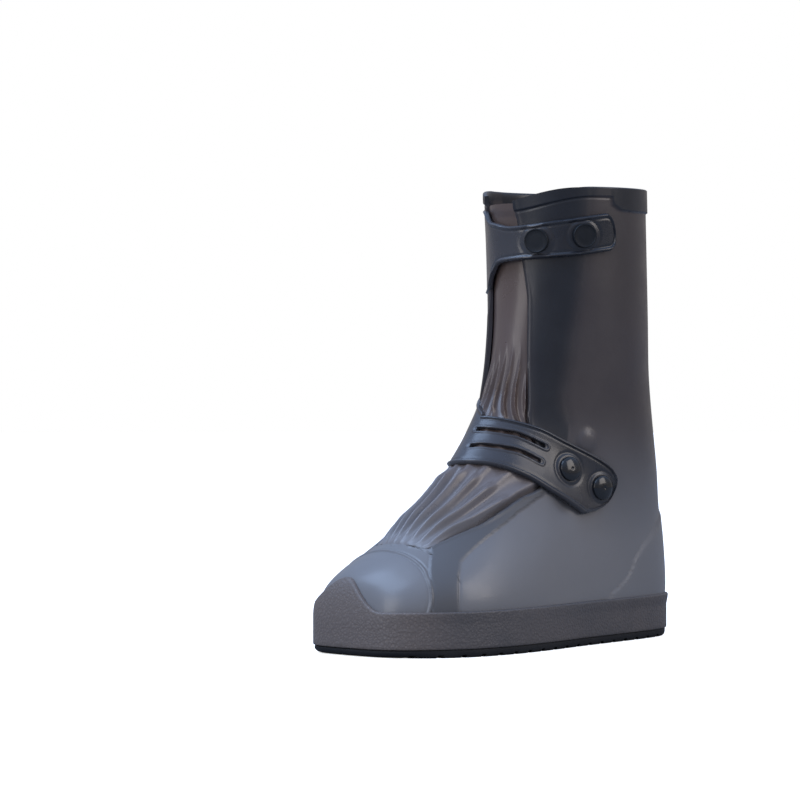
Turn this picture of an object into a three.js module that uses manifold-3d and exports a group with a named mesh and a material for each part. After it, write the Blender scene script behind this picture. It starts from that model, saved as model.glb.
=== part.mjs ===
// Moulded rain shoe cover for a left foot, with its collar strap and instep strap fastened.
// Millimetres, +Z up, toe towards -Y, outer side of the foot towards +X, resting on the outsole.
import * as THREE from 'three';
import { mergeVertices } from 'three/addons/utils/BufferGeometryUtils.js';
import Module from 'manifold-3d';

const wasm = await Module();
wasm.setup();

// Overall sizes
const footLength = 258.5;
const ballWidth = 98.5;
const collarHeight = 280;

// Walls and clearances
const wall = 2;
const gap = 0.3;
const raised = 0.8;

// Outsole and rand
const outsoleThickness = 4.7;
const grooveDepth = 1.8;
const grooveWidth = 3;
const groovePitch = 13;
const randThickness = 2.5;
const randHeight = 27;
const bumperHeight = 46;
const bumperWidth = 66;
const randInset = 8;
const soleHoleInset = 14;

// Collar, back tab and opening
const collarBand = 6;
const collarDip = 9;
const tabHeight = 13;
const tabRaise = 1.3;
const lipWidth = 3.5;
const gussetThickness = 1.2;
const gussetTuck = 4.5;
const gussetSeat = 0.9;
const foldCount = 4;
const foldHeight = 3.2;

// Relief on the foot
const ridgeWidth = 3;
const bandWidth = 15;
const domeRadius = 7;
const domeRise = 1.4;

// Straps and snaps
const strapThickness = 2;
const strapSeat = 0.5;
const strapLip = 0.8;
const topStrapWidth = 24;
const instepStrapWidth = 35;
const slotWidth = 3;
const capRadius = 7.5;
const capHeight = 3.2;
const shankRadius = 2.2;
const studRadius = 5;
const studThickness = 1.4;

const soleTop = outsoleThickness + gap;
const upperHeight = collarHeight - soleTop;
const mouldRadius = ballWidth / 2;

// One object per row of a table, with the columns as names.
function table(columns, rows) {
  return rows.map((row) => Object.fromEntries(columns.map((name, i) => [name, row[i]])));
}

// Slanted sections from the toe tip to the collar. The low end of each lies on the sole or up the back, the
// high end on the instep or the front. Fore is a share of footLength from the heel, up a share of upperHeight
// over the outsole, and outer, inner and shift are shares of ballWidth. Widest is where along the section it
// is widest, and lowRound and highRound are the exponents of its round, 2 for an ellipse.
const sections = table(
  ['lowFore', 'lowUp', 'highFore', 'highUp', 'outer', 'inner', 'shift', 'widest', 'lowRound', 'highRound'],
  [
    [1.0, 0.055, 1.0, 0.055, 0, 0, -0.12, 0.45, 2.3, 2.1],
    [0.996, 0.015, 0.99, 0.113, 0.244, 0.203, -0.11, 0.45, 2.6, 2.1],
    [0.965, 0.004, 0.969, 0.153, 0.376, 0.315, -0.09, 0.42, 3, 2.1],
    [0.903, 0, 0.928, 0.185, 0.472, 0.386, -0.06, 0.38, 3.4, 2.1],
    [0.812, 0, 0.874, 0.215, 0.543, 0.437, -0.02, 0.33, 3.8, 2.1],
    [0.689, 0, 0.807, 0.262, 0.563, 0.437, 0, 0.3, 4, 2],
    [0.547, 0, 0.735, 0.316, 0.523, 0.406, 0.02, 0.3, 4, 2],
    [0.379, 0, 0.669, 0.378, 0.467, 0.386, 0.02, 0.32, 4, 2],
    [0.203, 0, 0.617, 0.433, 0.437, 0.381, 0.01, 0.36, 3.8, 2],
    [0.066, 0.002, 0.58, 0.48, 0.426, 0.381, 0, 0.4, 3.2, 2],
    [0, 0.04, 0.553, 0.524, 0.426, 0.381, 0, 0.42, 2.6, 2],
    [0, 0.164, 0.532, 0.575, 0.442, 0.391, 0, 0.44, 2.3, 2],
    [0.015, 0.309, 0.513, 0.64, 0.457, 0.406, 0, 0.46, 2.1, 2],
    [0.037, 0.465, 0.499, 0.716, 0.467, 0.416, 0, 0.48, 2, 2],
    [0.054, 0.625, 0.491, 0.804, 0.482, 0.431, 0, 0.5, 2, 2],
    [0.066, 0.8, 0.491, 0.9, 0.492, 0.442, 0, 0.5, 2, 2],
    [0.077, 0.996, 0.497, 1.011, 0.503, 0.452, 0, 0.5, 2, 2],
    [0.083, 1.091, 0.501, 1.105, 0.508, 0.457, 0, 0.5, 2, 2],
  ],
);

// Front opening: its outer and inner edges in degrees round the section, by section number.
const opening = table(
  ['section', 'outerEdge', 'innerEdge'],
  [
    [4.15, 166, 194],
    [4.3, 154, 206],
    [4.7, 151, 209],
    [5.7, 143, 217],
    [7.3, 134, 226],
    [8.3, 129, 229],
    [9, 136, 222],
    [9.9, 148, 210],
    [10.8, 152, 204],
    [12.2, 158, 203],
    [13.5, 161, 205],
    [14.3, 166, 208],
    [15.2, 170, 212],
    [15.8, 173, 214],
    [17, 174, 216],
  ],
);

// Centre lines of the straps from their root on the inner quarter to their round end: degrees round the
// section, height as a share of upperHeight, and width as a share of the strap's own width.
const topStrapLine = table(
  ['around', 'height', 'width'],
  [
    [230, 0.858, 2.2],
    [218, 0.86, 2.2],
    [207, 0.866, 1.95],
    [197, 0.87, 1.42],
    [187, 0.874, 1.06],
    [170, 0.875, 0.88],
    [135, 0.886, 0.95],
    [110, 0.898, 0.97],
    [101, 0.903, 0.97],
  ],
);
const instepStrapLine = table(
  ['around', 'height', 'width'],
  [
    [238, 0.46, 1.45],
    [222, 0.452, 1.33],
    [194, 0.437, 1.12],
    [164, 0.434, 1],
    [142, 0.412, 1],
    [126, 0.376, 1.03],
    [110, 0.334, 1],
    [103, 0.305, 0.96],
  ],
);
const slotLines = [
  table(['around', 'height'], [[178, 0.457], [169, 0.456], [161, 0.453], [150, 0.445], [137, 0.421]]),
  table(['around', 'height'], [[177, 0.42], [168, 0.422], [156, 0.417], [146, 0.408], [136, 0.387]]),
];

// Where the snaps sit, as shares of the way along each strap's centre line.
const topSnapsAt = [0.684, 0.8];
const instepSnapsAt = [0.731, 0.875];

// Ridge of the toe cap and outer line of the vamp band, by section number and degrees, outer side only.
const toeCapLine = table(
  ['section', 'around'],
  [[2.7, 88], [2.95, 98], [3.3, 126], [3.5, 142], [3.62, 160], [3.7, 180]],
);
const bandLine = table(
  ['section', 'around'],
  [[3.3, 90], [3.4, 101], [3.85, 122], [4.4, 138], [5.7, 139], [7.3, 131], [8.2, 126], [9.2, 128]],
);

// Height of the heel counter's front edge as a share of upperHeight, against degrees from the back.
const counterEdge = table(
  ['height', 'around'],
  [[0.072, 75], [0.1, 80], [0.165, 84], [0.2, 79], [0.235, 64], [0.255, 52], [0.27, 34], [0.28, 10]],
);

// A smooth curve through the values of one column, against another column or the row number.
function curve(rows, column, at, against) {
  const last = rows.length - 1;
  let i = Math.min(Math.max(Math.floor(at), 0), last - 1);
  let f = at - i;
  if (against) {
    i = 0;
    while (i < last - 1 && rows[i + 1][against] < at) i += 1;
    f = (at - rows[i][against]) / (rows[i + 1][against] - rows[i][against]);
    f = THREE.MathUtils.clamp(f, 0, 1);
  }
  const before = rows[Math.max(i - 1, 0)][column];
  const after = rows[Math.min(i + 2, last)][column];
  return hermite(before, rows[i][column], rows[i + 1][column], after, f);
}

function hermite(before, from, to, after, f) {
  const out = (to - before) / 2;
  const back = (after - from) / 2;
  const square = f * f;
  const cube = square * f;
  const start = (2 * cube - 3 * square + 1) * from + (cube - 2 * square + f) * out;
  return start + (3 * square - 2 * cube) * to + (cube - square) * back;
}

// The section at any number between two rows. Below the toe tip the first section is mirrored, so the toe is
// round.
const mirroredTip = {
  ...sections[1],
  lowFore: sections[1].highFore,
  lowUp: sections[1].highUp,
  highFore: sections[1].lowFore,
  highUp: sections[1].lowUp,
  outer: -sections[1].outer,
  inner: -sections[1].inner,
};
const lastSection = sections.length - 1;

function sectionAt(number) {
  const t = THREE.MathUtils.clamp(number, 0, lastSection);
  const i = Math.min(Math.floor(t), lastSection - 1);
  const before = i === 0 ? mirroredTip : sections[i - 1];
  const after = sections[Math.min(i + 2, lastSection)];
  const at = {};
  for (const name of Object.keys(sections[0])) {
    at[name] = hermite(before[name], sections[i][name], sections[i + 1][name], after[name], t - i);
  }
  return at;
}

// A point of the mould at a section number and degrees round it: 0 at the back or under the sole, 90 on the
// outer side, 180 at the front or on the instep, 270 on the inner side.
function mould(number, around) {
  const s = sectionAt(number);
  const angle = THREE.MathUtils.degToRad(around);
  const c = Math.cos(angle);
  const low = c > 0;
  const power = 2 / (low ? s.lowRound : s.highRound);
  const reach = Math.abs(c) ** power;
  const share = low ? s.widest * (1 - reach) : s.widest + (1 - s.widest) * reach;
  const side = Math.sin(angle);
  const half = (side >= 0 ? s.outer : -s.inner) * Math.abs(side) ** power;
  const fore = s.lowFore + share * (s.highFore - s.lowFore);
  const up = s.lowUp + share * (s.highUp - s.lowUp);
  return new THREE.Vector3((s.shift + half) * ballWidth, -fore * footLength, soleTop + up * upperHeight);
}

// The outward normal of the mould.
function outward(number, around) {
  const step = 0.02;
  const turn = 0.6;
  const t = Math.max(number, step * 2);
  const along = mould(t + step, around).sub(mould(t - step, around));
  const across = mould(t, around + turn).sub(mould(t, around - turn));
  return along.cross(across).normalize();
}

// A point lifted off the mould along its normal, in millimetres.
function skin(number, around, lift) {
  if (number === 0) {
    return mould(0, 0).add(new THREE.Vector3(0, -lift, 0));
  }
  return mould(number, around).addScaledVector(outward(number, around), lift);
}

// The section number where the mould has a height, at some degrees round it. It is found by halving, from a
// section behind the toe.
const firstUpright = 2.5;
const halvings = 26;

function numberAt(height, around) {
  let low = firstUpright;
  let high = lastSection;
  for (let i = 0; i < halvings; i += 1) {
    const middle = (low + high) / 2;
    if (mould(middle, around).z < height) low = middle;
    else high = middle;
  }
  return (low + high) / 2;
}

const byHeight = (around, share) => [numberAt(soleTop + share * upperHeight, around), around];

function smooth(value, from, to) {
  return THREE.MathUtils.smoothstep(value, from, to);
}

function indexed(points, faces) {
  const geometry = new THREE.BufferGeometry();
  const values = points.flatMap((p) => [p.x, p.y, p.z]);
  geometry.setAttribute('position', new THREE.Float32BufferAttribute(values, 3));
  geometry.setIndex(faces.flat());
  if (volume(geometry) < 0) geometry.setIndex(faces.map(([a, b, c]) => [a, c, b]).flat());
  return geometry;
}

function volume(geometry) {
  const at = geometry.attributes.position;
  const index = geometry.index.array;
  const corner = [new THREE.Vector3(), new THREE.Vector3(), new THREE.Vector3()];
  let sum = 0;
  for (let i = 0; i < index.length; i += 3) {
    corner.forEach((v, k) => v.fromBufferAttribute(at, index[i + k]));
    sum += corner[0].dot(corner[1].cross(corner[2])) / 6;
  }
  return sum;
}

// A closed body from closed loops of points, each joined to the next. A loop of one point ends it, and an end
// that is a whole loop is closed by the triangles given for it.
function loft(loops, capStart, capEnd) {
  const points = [];
  const faces = [];
  const starts = loops.map((loop) => {
    const start = points.length;
    points.push(...loop);
    return start;
  });
  for (let k = 0; k < loops.length - 1; k += 1) {
    const count = Math.max(loops[k].length, loops[k + 1].length);
    for (let i = 0; i < count; i += 1) {
      const next = (i + 1) % count;
      const a = starts[k] + (loops[k].length === 1 ? 0 : i);
      const b = starts[k] + (loops[k].length === 1 ? 0 : next);
      const c = starts[k + 1] + (loops[k + 1].length === 1 ? 0 : next);
      const d = starts[k + 1] + (loops[k + 1].length === 1 ? 0 : i);
      if (a !== b) faces.push([a, b, c]);
      if (c !== d) faces.push([a, c, d]);
    }
  }
  if (capStart) faces.push(...capStart.map(([a, b, c]) => [starts[0] + a, starts[0] + c, starts[0] + b]));
  const end = starts[starts.length - 1];
  if (capEnd) faces.push(...capEnd.map(([a, b, c]) => [end + a, end + b, end + c]));
  return indexed(points, faces);
}

// A curved plate: its loops are cross sections of top and bottom points, with flat strips closing both ends.
function plate(rows, columns, top, bottom) {
  const loops = [];
  for (let k = 0; k <= rows; k += 1) {
    const upper = [];
    const lower = [];
    for (let i = 0; i <= columns; i += 1) {
      upper.push(top(k / rows, i / columns));
      lower.push(bottom(k / rows, i / columns));
    }
    loops.push([...upper, ...lower.reverse()]);
  }
  const cap = [];
  const last = 2 * columns + 1;
  for (let i = 0; i < columns; i += 1) {
    cap.push([i, i + 1, last - i - 1]);
    cap.push([i, last - i - 1, last - i]);
  }
  return loft(loops, cap, cap);
}

function solid(geometry) {
  const bare = geometry.clone();
  bare.deleteAttribute('normal');
  bare.deleteAttribute('uv');
  const merged = mergeVertices(bare, 1e-5);
  const at = merged.attributes.position.array;
  const corners = new Uint32Array(merged.index.array);
  const mesh = new wasm.Mesh({ numProp: 3, vertProperties: new Float32Array(at), triVerts: corners });
  return new wasm.Manifold(mesh);
}

function faceted(body) {
  const mesh = body.getMesh();
  const geometry = new THREE.BufferGeometry();
  geometry.setAttribute('position', new THREE.Float32BufferAttribute(mesh.vertProperties, 3));
  geometry.setIndex(Array.from(mesh.triVerts));
  return geometry;
}

// How far one step of each coordinate of a line on the mould moves a point.
function patchFrame(place, u, v) {
  const stepU = 0.5;
  const stepV = 0.004;
  const here = skin(...place(u, v), 0);
  const alongU = skin(...place(u + stepU, v), 0).sub(here).divideScalar(stepU);
  const alongV = skin(...place(u, v + stepV), 0).sub(here).divideScalar(stepV);
  return { alongU, alongV };
}

// A line on the mould with round or square ends, and points set off to its side by millimetres.
function ribbon({ rows, names, place, half, rounded }) {
  const last = rows.length - 1;
  const near = 0.01;
  const narrowest = 0.1;
  const at = (s) => names.map((name) => curve(rows, name, s * last));
  const sidePoint = (s, side) => {
    const [u, v] = at(s);
    const ahead = at(Math.min(s + near, 1));
    const behind = at(Math.max(s - near, 0));
    const frame = patchFrame(place, u, v);
    const along = frame.alongU.clone().multiplyScalar(ahead[0] - behind[0]);
    along.addScaledVector(frame.alongV, ahead[1] - behind[1]);
    const normal = outward(...place(u, v));
    const across = normal.cross(along).normalize().multiplyScalar(side);
    const uu = frame.alongU.dot(frame.alongU);
    const uv = frame.alongU.dot(frame.alongV);
    const vv = frame.alongV.dot(frame.alongV);
    const du = across.dot(frame.alongU);
    const dv = across.dot(frame.alongV);
    const whole = uu * vv - uv * uv;
    return [u + (du * vv - dv * uv) / whole, v + (dv * uu - du * uv) / whole];
  };
  const length = ribbonLength(at, place);
  const width = (s) => {
    const fromStart = rounded.includes('start') ? s * length : Infinity;
    const toEnd = Math.min(rounded.includes('end') ? (1 - s) * length : Infinity, fromStart);
    const reach = half(s);
    if (toEnd >= reach) return reach;
    return Math.max(Math.sqrt(reach ** 2 - (reach - toEnd) ** 2), narrowest);
  };
  const spot = (s, w) => place(...sidePoint(s, w * width(s)));
  return { spot, length };
}

function ribbonLength(at, place) {
  const parts = 40;
  const points = Array.from({ length: parts + 1 }, (none, i) => skin(...place(...at(i / parts)), 0));
  return points.slice(1).reduce((sum, point, i) => sum + point.distanceTo(points[i]), 0);
}

// Steps along a ribbon, closer together at a round end.
const endSteps = 4;

function steps(line, half, count, rounded) {
  const endShare = half / line.length;
  const from = rounded.includes('start') ? endShare : 0;
  const to = rounded.includes('end') ? 1 - endShare : 1;
  const turn = (i) => (i / endSteps) * (Math.PI / 2);
  const list = [];
  if (from) {
    for (let i = 0; i < endSteps; i += 1) list.push(from * (1 - Math.cos(turn(i))));
  }
  for (let i = 0; i <= count; i += 1) list.push(from + ((to - from) * i) / count);
  if (to < 1) {
    for (let i = 1; i <= endSteps; i += 1) list.push(to + endShare * Math.sin(turn(i)));
  }
  return list;
}

// A plate that follows a ribbon: under and over give the lifts of its two faces.
function ribbonPlate({ line, half, count, columns, rounded, under, over }) {
  const list = steps(line, half, count, rounded);
  const rowsMade = list.length - 1;
  const point = (lift) => (k, w) => {
    const s = list[Math.round(k * rowsMade)];
    const [number, around] = line.spot(s, w * 2 - 1);
    return skin(number, around, lift(s, w * 2 - 1, around));
  };
  return plate(rowsMade, columns, point(over), point(under));
}

// Upper

// The collar dips over this many degrees to each side of the front.
const dipReach = 65;

function collarTop(around) {
  const away = Math.min(Math.abs(around - 180) / dipReach, 1);
  return collarHeight - (collarDip * (1 + Math.cos(away * Math.PI))) / 2;
}

// Section numbers of the rows below the shaft's top.
const shaftStart = 14.2;
const toeRows = [0.3, 0.8, 1.4, 2.1, 2.9, 3.7];
const footSections = [...toeRows, 4.6, 5.5, 6.4, 7.3, 8.1, 8.8, 9.6, 10.5, 11.6, 12.8, shaftStart];
const roundSteps = 33;
const bandStep = 0.03;

// Rows of the mould up to the collar, each a function of the degrees round it.
function shaftRows(edge) {
  const rows = footSections.map((number) => () => number);
  const bandStart = (around) => numberAt(edge(around) - collarBand, around);
  rows.push((around) => (shaftStart + bandStart(around)) / 2);
  return { rows, bandStart };
}

function ringOf(number, lift) {
  const ring = [];
  for (let i = 0; i < roundSteps; i += 1) {
    const around = (i * 360) / roundSteps;
    ring.push(skin(number(around), around, lift));
  }
  return ring;
}

function moulding() {
  const { rows, bandStart } = shaftRows(collarTop);
  const rim = (around) => numberAt(collarTop(around), around);
  const outside = rows.map((number) => ringOf(number, 0));
  outside.push(ringOf((around) => bandStart(around) - bandStep, 0));
  outside.push(ringOf(bandStart, raised));
  outside.push(ringOf(rim, raised));
  const inside = [ringOf(rim, -wall)];
  inside.push(...[...rows].reverse().map((number) => ringOf(number, -wall)));
  return loft([[skin(0, 0, 0)], ...outside, ...inside, [skin(0, 0, -wall)]]);
}

// The whole outside of the mould as one filled body, lifted all over.
function filled(lift) {
  const { rows } = shaftRows(collarTop);
  const rim = (around) => numberAt(collarTop(around), around);
  const loops = rows.map((number) => ringOf(number, lift));
  loops.push(ringOf(rim, lift));
  const centre = new THREE.Vector3();
  loops[loops.length - 1].forEach((p) => centre.addScaledVector(p, 1 / roundSteps));
  return loft([[skin(0, 0, lift)], ...loops, [centre]]);
}

function edgesAt(number) {
  return {
    outer: curve(opening, 'outerEdge', number, 'section'),
    inner: curve(opening, 'innerEdge', number, 'section'),
  };
}

// Cutters reach this many wall thicknesses through a wall.
const cutReach = 2.5;

function openingCutter() {
  const from = opening[0].section;
  const to = lastSection;
  const point = (lift) => (k, w) => {
    const number = from + (to - from) * k;
    const { outer, inner } = edgesAt(number);
    return skin(number, THREE.MathUtils.lerp(outer, inner, w), lift);
  };
  return plate(20, 4, point(wall * cutReach), point(-wall * cutReach));
}

const onMould = (number, around) => [number, around];
const fromShares = (around, share) => byHeight(around, share);
const flip = (rows) => rows.map((row) => ({ ...row, around: 360 - row.around }));

// Relief is set into the wall by this share of its thickness, and stays this far under the rim.
const setIn = 0.7;
const rimClear = 0.4;

// A raised strip along a line on the mould, set into the wall.
function strip(rows, names, place, width, rise, count, columns = 1) {
  const line = ribbon({ rows, names, place, half: () => width / 2, rounded: [] });
  return ribbonPlate({
    line,
    half: width / 2,
    count,
    columns,
    rounded: [],
    under: () => -wall * setIn,
    over: () => rise,
  });
}

function toeCapRidge() {
  const inner = flip(toeCapLine).reverse().slice(1);
  return strip([...toeCapLine, ...inner], ['section', 'around'], onMould, ridgeWidth, raised, 14);
}

// The band runs down beside the gusset, from under the instep strap to the rand.
function vampBand(rows) {
  return strip(rows, ['section', 'around'], onMould, bandWidth, raised, 9, 2);
}

// The lip along the inner edge of the opening, between these two sections under and over the straps.
const lipFrom = 9.5;
const lipTo = 14;

function openingLip() {
  const rows = opening
    .filter((row) => row.section > lipFrom && row.section < lipTo)
    .map((row) => ({ section: row.section, around: row.innerEdge + lipAround(row) }));
  return strip(rows, ['section', 'around'], onMould, lipWidth, raised, 8);
}

function lipAround(row) {
  const perDegree = mould(row.section, row.innerEdge + 1).distanceTo(mould(row.section, row.innerEdge));
  return lipWidth / 2 / perDegree;
}

// The back tab reaches this many degrees to each side, and its lower corners are cut by a share of its height
// over a share of its reach.
const tabReach = 101;
const tabCorner = 0.35;
const tabCornerReach = 0.14;

function backTab() {
  const top = collarTop(0) - rimClear;
  const point = (lift) => (k, w) => {
    const side = w * 2 - 1;
    const around = side * tabReach;
    const cut = smooth(Math.abs(side), 1 - tabCornerReach, 1) * tabHeight * tabCorner;
    const height = THREE.MathUtils.lerp(collarHeight - tabHeight + cut, top, k);
    return skin(numberAt(height, (around + 360) % 360), around, lift);
  };
  return plate(1, 16, point(tabRaise), point(-wall * setIn));
}

function heelCounter() {
  const lowest = counterEdge[0].height;
  const highest = counterEdge[counterEdge.length - 1].height;
  const point = (lift) => (k, w) => {
    const share = THREE.MathUtils.lerp(lowest, highest, k);
    const around = (w * 2 - 1) * curve(counterEdge, 'around', share, 'height');
    const [number] = byHeight((around + 360) % 360, share);
    return skin(number, around, lift);
  };
  return plate(6, 12, point(raised), point(-wall * setIn));
}

// The small moulded dome above the instep strap on the outer quarter: degrees round and share of the height.
const domeAt = [117, 0.438];

function dome() {
  const [number, around] = byHeight(...domeAt);
  const normal = outward(number, around);
  const body = new THREE.SphereGeometry(1, 14, 8);
  body.scale(domeRadius, domeRise + wall / 2, domeRadius);
  const turn = new THREE.Quaternion().setFromUnitVectors(new THREE.Vector3(0, 1, 0), normal);
  body.applyQuaternion(turn);
  const centre = mould(number, around).addScaledVector(normal, -wall / 2);
  body.translate(centre.x, centre.y, centre.z);
  return body;
}

// Straps

const halfWidth = (rows, width) => (s) => (curve(rows, 'width', s * (rows.length - 1)) * width) / 2;

function strapLine(rows, width) {
  return ribbon({
    rows,
    names: ['around', 'height'],
    place: fromShares,
    half: halfWidth(rows, width),
    rounded: ['end'],
  });
}

const topLine = strapLine(topStrapLine, topStrapWidth);
const instepLine = strapLine(instepStrapLine, instepStrapWidth);

// The straps lie over the lip along the opening. They have a raised border beyond this share of their half
// width.
const strapUnder = strapSeat + raised;
const borderShare = 0.9;

function strap(line, width, count, columns) {
  return ribbonPlate({
    line,
    half: width / 2,
    count,
    columns,
    rounded: ['end'],
    under: () => strapUnder,
    over: (s, w) => strapUnder + strapThickness + (Math.abs(w) > borderShare ? strapLip : 0),
  });
}

function slotCutter(rows) {
  const rounded = ['start', 'end'];
  const names = ['around', 'height'];
  const line = ribbon({ rows, names, place: fromShares, half: () => slotWidth / 2, rounded });
  return ribbonPlate({
    line,
    half: slotWidth / 2,
    count: 4,
    columns: 1,
    rounded,
    under: () => strapUnder - strapThickness,
    over: () => strapUnder + strapThickness * cutReach,
  });
}

// Snaps: where each one goes through the strap and the outer quarter, and which way it points.
function snapSeat(line, s) {
  const [number, around] = line.spot(s, 0);
  const normal = outward(number, around);
  const point = mould(number, around);
  const turn = new THREE.Quaternion().setFromUnitVectors(new THREE.Vector3(0, 1, 0), normal);
  return { point, normal, turn };
}

function snapsOn(label, shares, line) {
  return shares.map((s, i) => ({
    name: `${label}_snap_cap_${i + 1}`,
    stud: `${label}_snap_stud_${i + 1}`,
    ...snapSeat(line, s),
  }));
}

const snaps = [
  ...snapsOn('top', topSnapsAt, topLine),
  ...snapsOn('instep', instepSnapsAt, instepLine),
];

function snapHole(snap) {
  const reach = (wall + strapThickness) * 6;
  const hole = new THREE.CylinderGeometry(shankRadius + gap, shankRadius + gap, reach, 12);
  hole.applyQuaternion(snap.turn);
  hole.translate(snap.point.x, snap.point.y, snap.point.z);
  return hole;
}

// How far a flat disc has to stand off the round mould so that its middle or rim clears it.
const discStandOff = (radius) => radius ** 2 / (2 * mouldRadius);

function lathe(profile, sides) {
  return new THREE.LatheGeometry(profile.map(([x, y]) => new THREE.Vector2(x, y)), sides);
}

// The share of that for a cap over a strap, and for a stud inside the quarter.
const capStandOff = 0.6;
const studStandOff = 1.4;

function snapCap() {
  const base = strapUnder + strapThickness + gap + discStandOff(capRadius) * capStandOff;
  const foot = gap / 2;
  return lathe([
    [0, foot],
    [shankRadius, foot],
    [shankRadius, base],
    [capRadius, base],
    [capRadius, base + capHeight * 0.45],
    [capRadius * 0.86, base + capHeight * 0.85],
    [capRadius * 0.5, base + capHeight],
    [0, base + capHeight],
  ], 12);
}

function snapStud() {
  const top = -wall - gap - discStandOff(studRadius) * studStandOff;
  return lathe([
    [0, top - studThickness],
    [studRadius, top - studThickness],
    [studRadius, top],
    [shankRadius, top],
    [shankRadius, -gap / 2],
    [0, -gap / 2],
  ], 10);
}

// Gusset

// The gusset starts this many sections before the opening, and its top lies this far under the collar's.
const gussetLead = 0.35;
const gussetTop = collarHeight - collarDip - 1;

// Section numbers between which its folds are lower under the instep strap and fade out up the shaft.
const strapZone = { start: [6.3, 6.9], end: [9.8, 10.4] };
const foldFade = [10.5, 13.6];
const foldsUnderStrap = 0.5;
const foldFloor = 0.3;

// Shares of the window's width and of the gusset's length over which the folds start and end.
const foldStart = [0.06, 0.2];
const foldEnd = [0.8, 0.94];
const foldFoot = [0.03, 0.08];

function gussetPoint(k, w, drop) {
  const from = opening[0].section - gussetLead;
  const to = numberAt(gussetTop, 180);
  const number = from + (to - from) * k;
  const { outer, inner } = edgesAt(number);
  const perDegree = mould(number, 181).distanceTo(mould(number, 180));
  const tuck = gussetTuck / perDegree;
  const around = THREE.MathUtils.lerp(outer - tuck, inner + tuck, w);
  const inWindow = (around - outer) / (inner - outer);
  const free = smooth(inWindow, ...foldStart) * (1 - smooth(inWindow, ...foldEnd)) * smooth(k, ...foldFoot);
  const crest = 0.5 - 0.5 * Math.cos(inWindow * foldCount * Math.PI * 2);
  const strapped = smooth(number, ...strapZone.start) * (1 - smooth(number, ...strapZone.end));
  const height = foldHeight * (1 - foldsUnderStrap * strapped) * (1 - smooth(number, ...foldFade));
  const fold = free * height * THREE.MathUtils.lerp(foldFloor, 1, crest);
  return skin(number, around, -wall - gussetSeat + fold - drop);
}

function gusset() {
  return plate(19, 16, (k, w) => gussetPoint(k, w, 0), (k, w) => gussetPoint(k, w, gussetThickness));
}

// Rand and outsole: level rings round the foot

const rootHeight = soleTop + sections[0].lowUp * upperHeight;
const ringSteps = 42;
const ringGather = 0.5;
const outlineStep = 0.04;
const outlineEnd = 12;

// Share of the half width at a share of the way up a section.
function widthAt(section, way) {
  const low = way < section.widest;
  const away = low ? 1 - way / section.widest : (way - section.widest) / (1 - section.widest);
  const power = low ? section.lowRound : section.highRound;
  return (1 - away ** power) ** (1 / power);
}

// The outline of the mould at a height, from the toe along the outer side to the heel and back.
function outlineAt(height) {
  const share = (height - soleTop) / upperHeight;
  const crossed = [];
  for (let number = outlineStep; number < outlineEnd; number += outlineStep) {
    const section = sectionAt(number);
    const way = (share - section.lowUp) / (section.highUp - section.lowUp);
    if (way >= 0 && way <= 1) crossed.push({ section, way });
  }
  const side = (name, sign) => crossed.map(({ section, way }) => {
    const fore = section.lowFore + way * (section.highFore - section.lowFore);
    const across = section.shift + sign * section[name] * widthAt(section, way);
    return new THREE.Vector3(across * ballWidth, -fore * footLength, height);
  });
  return [...side('outer', 1), ...side('inner', -1).reverse()];
}

// Points round the widest outline of the foot, closer together at the toe and the heel.
function rootPoints() {
  const path = new THREE.CatmullRomCurve3(outlineAt(rootHeight), true, 'centripetal');
  path.arcLengthDivisions = 1000;
  const share = (i) => i / ringSteps;
  const gathered = (at) => at - (ringGather * Math.sin(4 * Math.PI * at)) / (4 * Math.PI);
  return Array.from({ length: ringSteps }, (none, i) => path.getPointAt(gathered(share(i))));
}

// A line from inside the foot through each point carries that point's column: straight across along the
// sides, and from one centre inside the toe and one inside the heel.
const toeReach = footLength * 0.2;
const heelReach = footLength * 0.16;

function columnLine(point) {
  const from = new THREE.Vector2(0, THREE.MathUtils.clamp(point.y, toeReach - footLength, -heelReach));
  return { from, along: new THREE.Vector2(point.x, point.y).sub(from).normalize() };
}

// Where a column's line crosses an outline.
function crossing({ from, along }, outline) {
  let reach = 0;
  outline.forEach((point, i) => {
    const start = new THREE.Vector2(point.x, point.y).sub(from);
    const next = outline[(i + 1) % outline.length];
    const end = new THREE.Vector2(next.x, next.y).sub(from);
    const startSide = along.cross(start);
    const endSide = along.cross(end);
    if (startSide * endSide > 0 || startSide === endSide) return;
    reach = Math.max(reach, start.lerp(end, startSide / (startSide - endSide)).dot(along));
  });
  return from.clone().addScaledVector(along, reach);
}

// The points of a ring with their outward directions.
function withDirections(points) {
  return points.map((point, i) => {
    const ahead = points[(i + 1) % ringSteps];
    const behind = points[(i + ringSteps - 1) % ringSteps];
    return { point, out: new THREE.Vector2(ahead.y - behind.y, behind.x - ahead.x).normalize() };
  });
}

const columnLines = rootPoints().map(columnLine);
const ringAt = (height) => {
  const outline = outlineAt(height);
  return withDirections(columnLines.map((line) => crossing(line, outline)));
};
const rootRing = ringAt(rootHeight);
const ringPitch = 3.5;
const rings = [];
for (let height = rootHeight; height < bumperHeight + ringPitch; height += ringPitch) {
  rings.push(ringAt(height));
}

// A point of column i at any height, grown outwards. Below the first ring the foot's sides are upright.
function ringPoint(i, height, grow) {
  const along = THREE.MathUtils.clamp((height - rootHeight) / ringPitch, 0, rings.length - 1.001);
  const k = Math.floor(along);
  const out = rings[k][i].out.clone().lerp(rings[k + 1][i].out, along - k).normalize();
  const point = rings[k][i].point.clone().lerp(rings[k + 1][i].point, along - k);
  point.addScaledVector(out, grow);
  return new THREE.Vector3(point.x, point.y, height);
}

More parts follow.
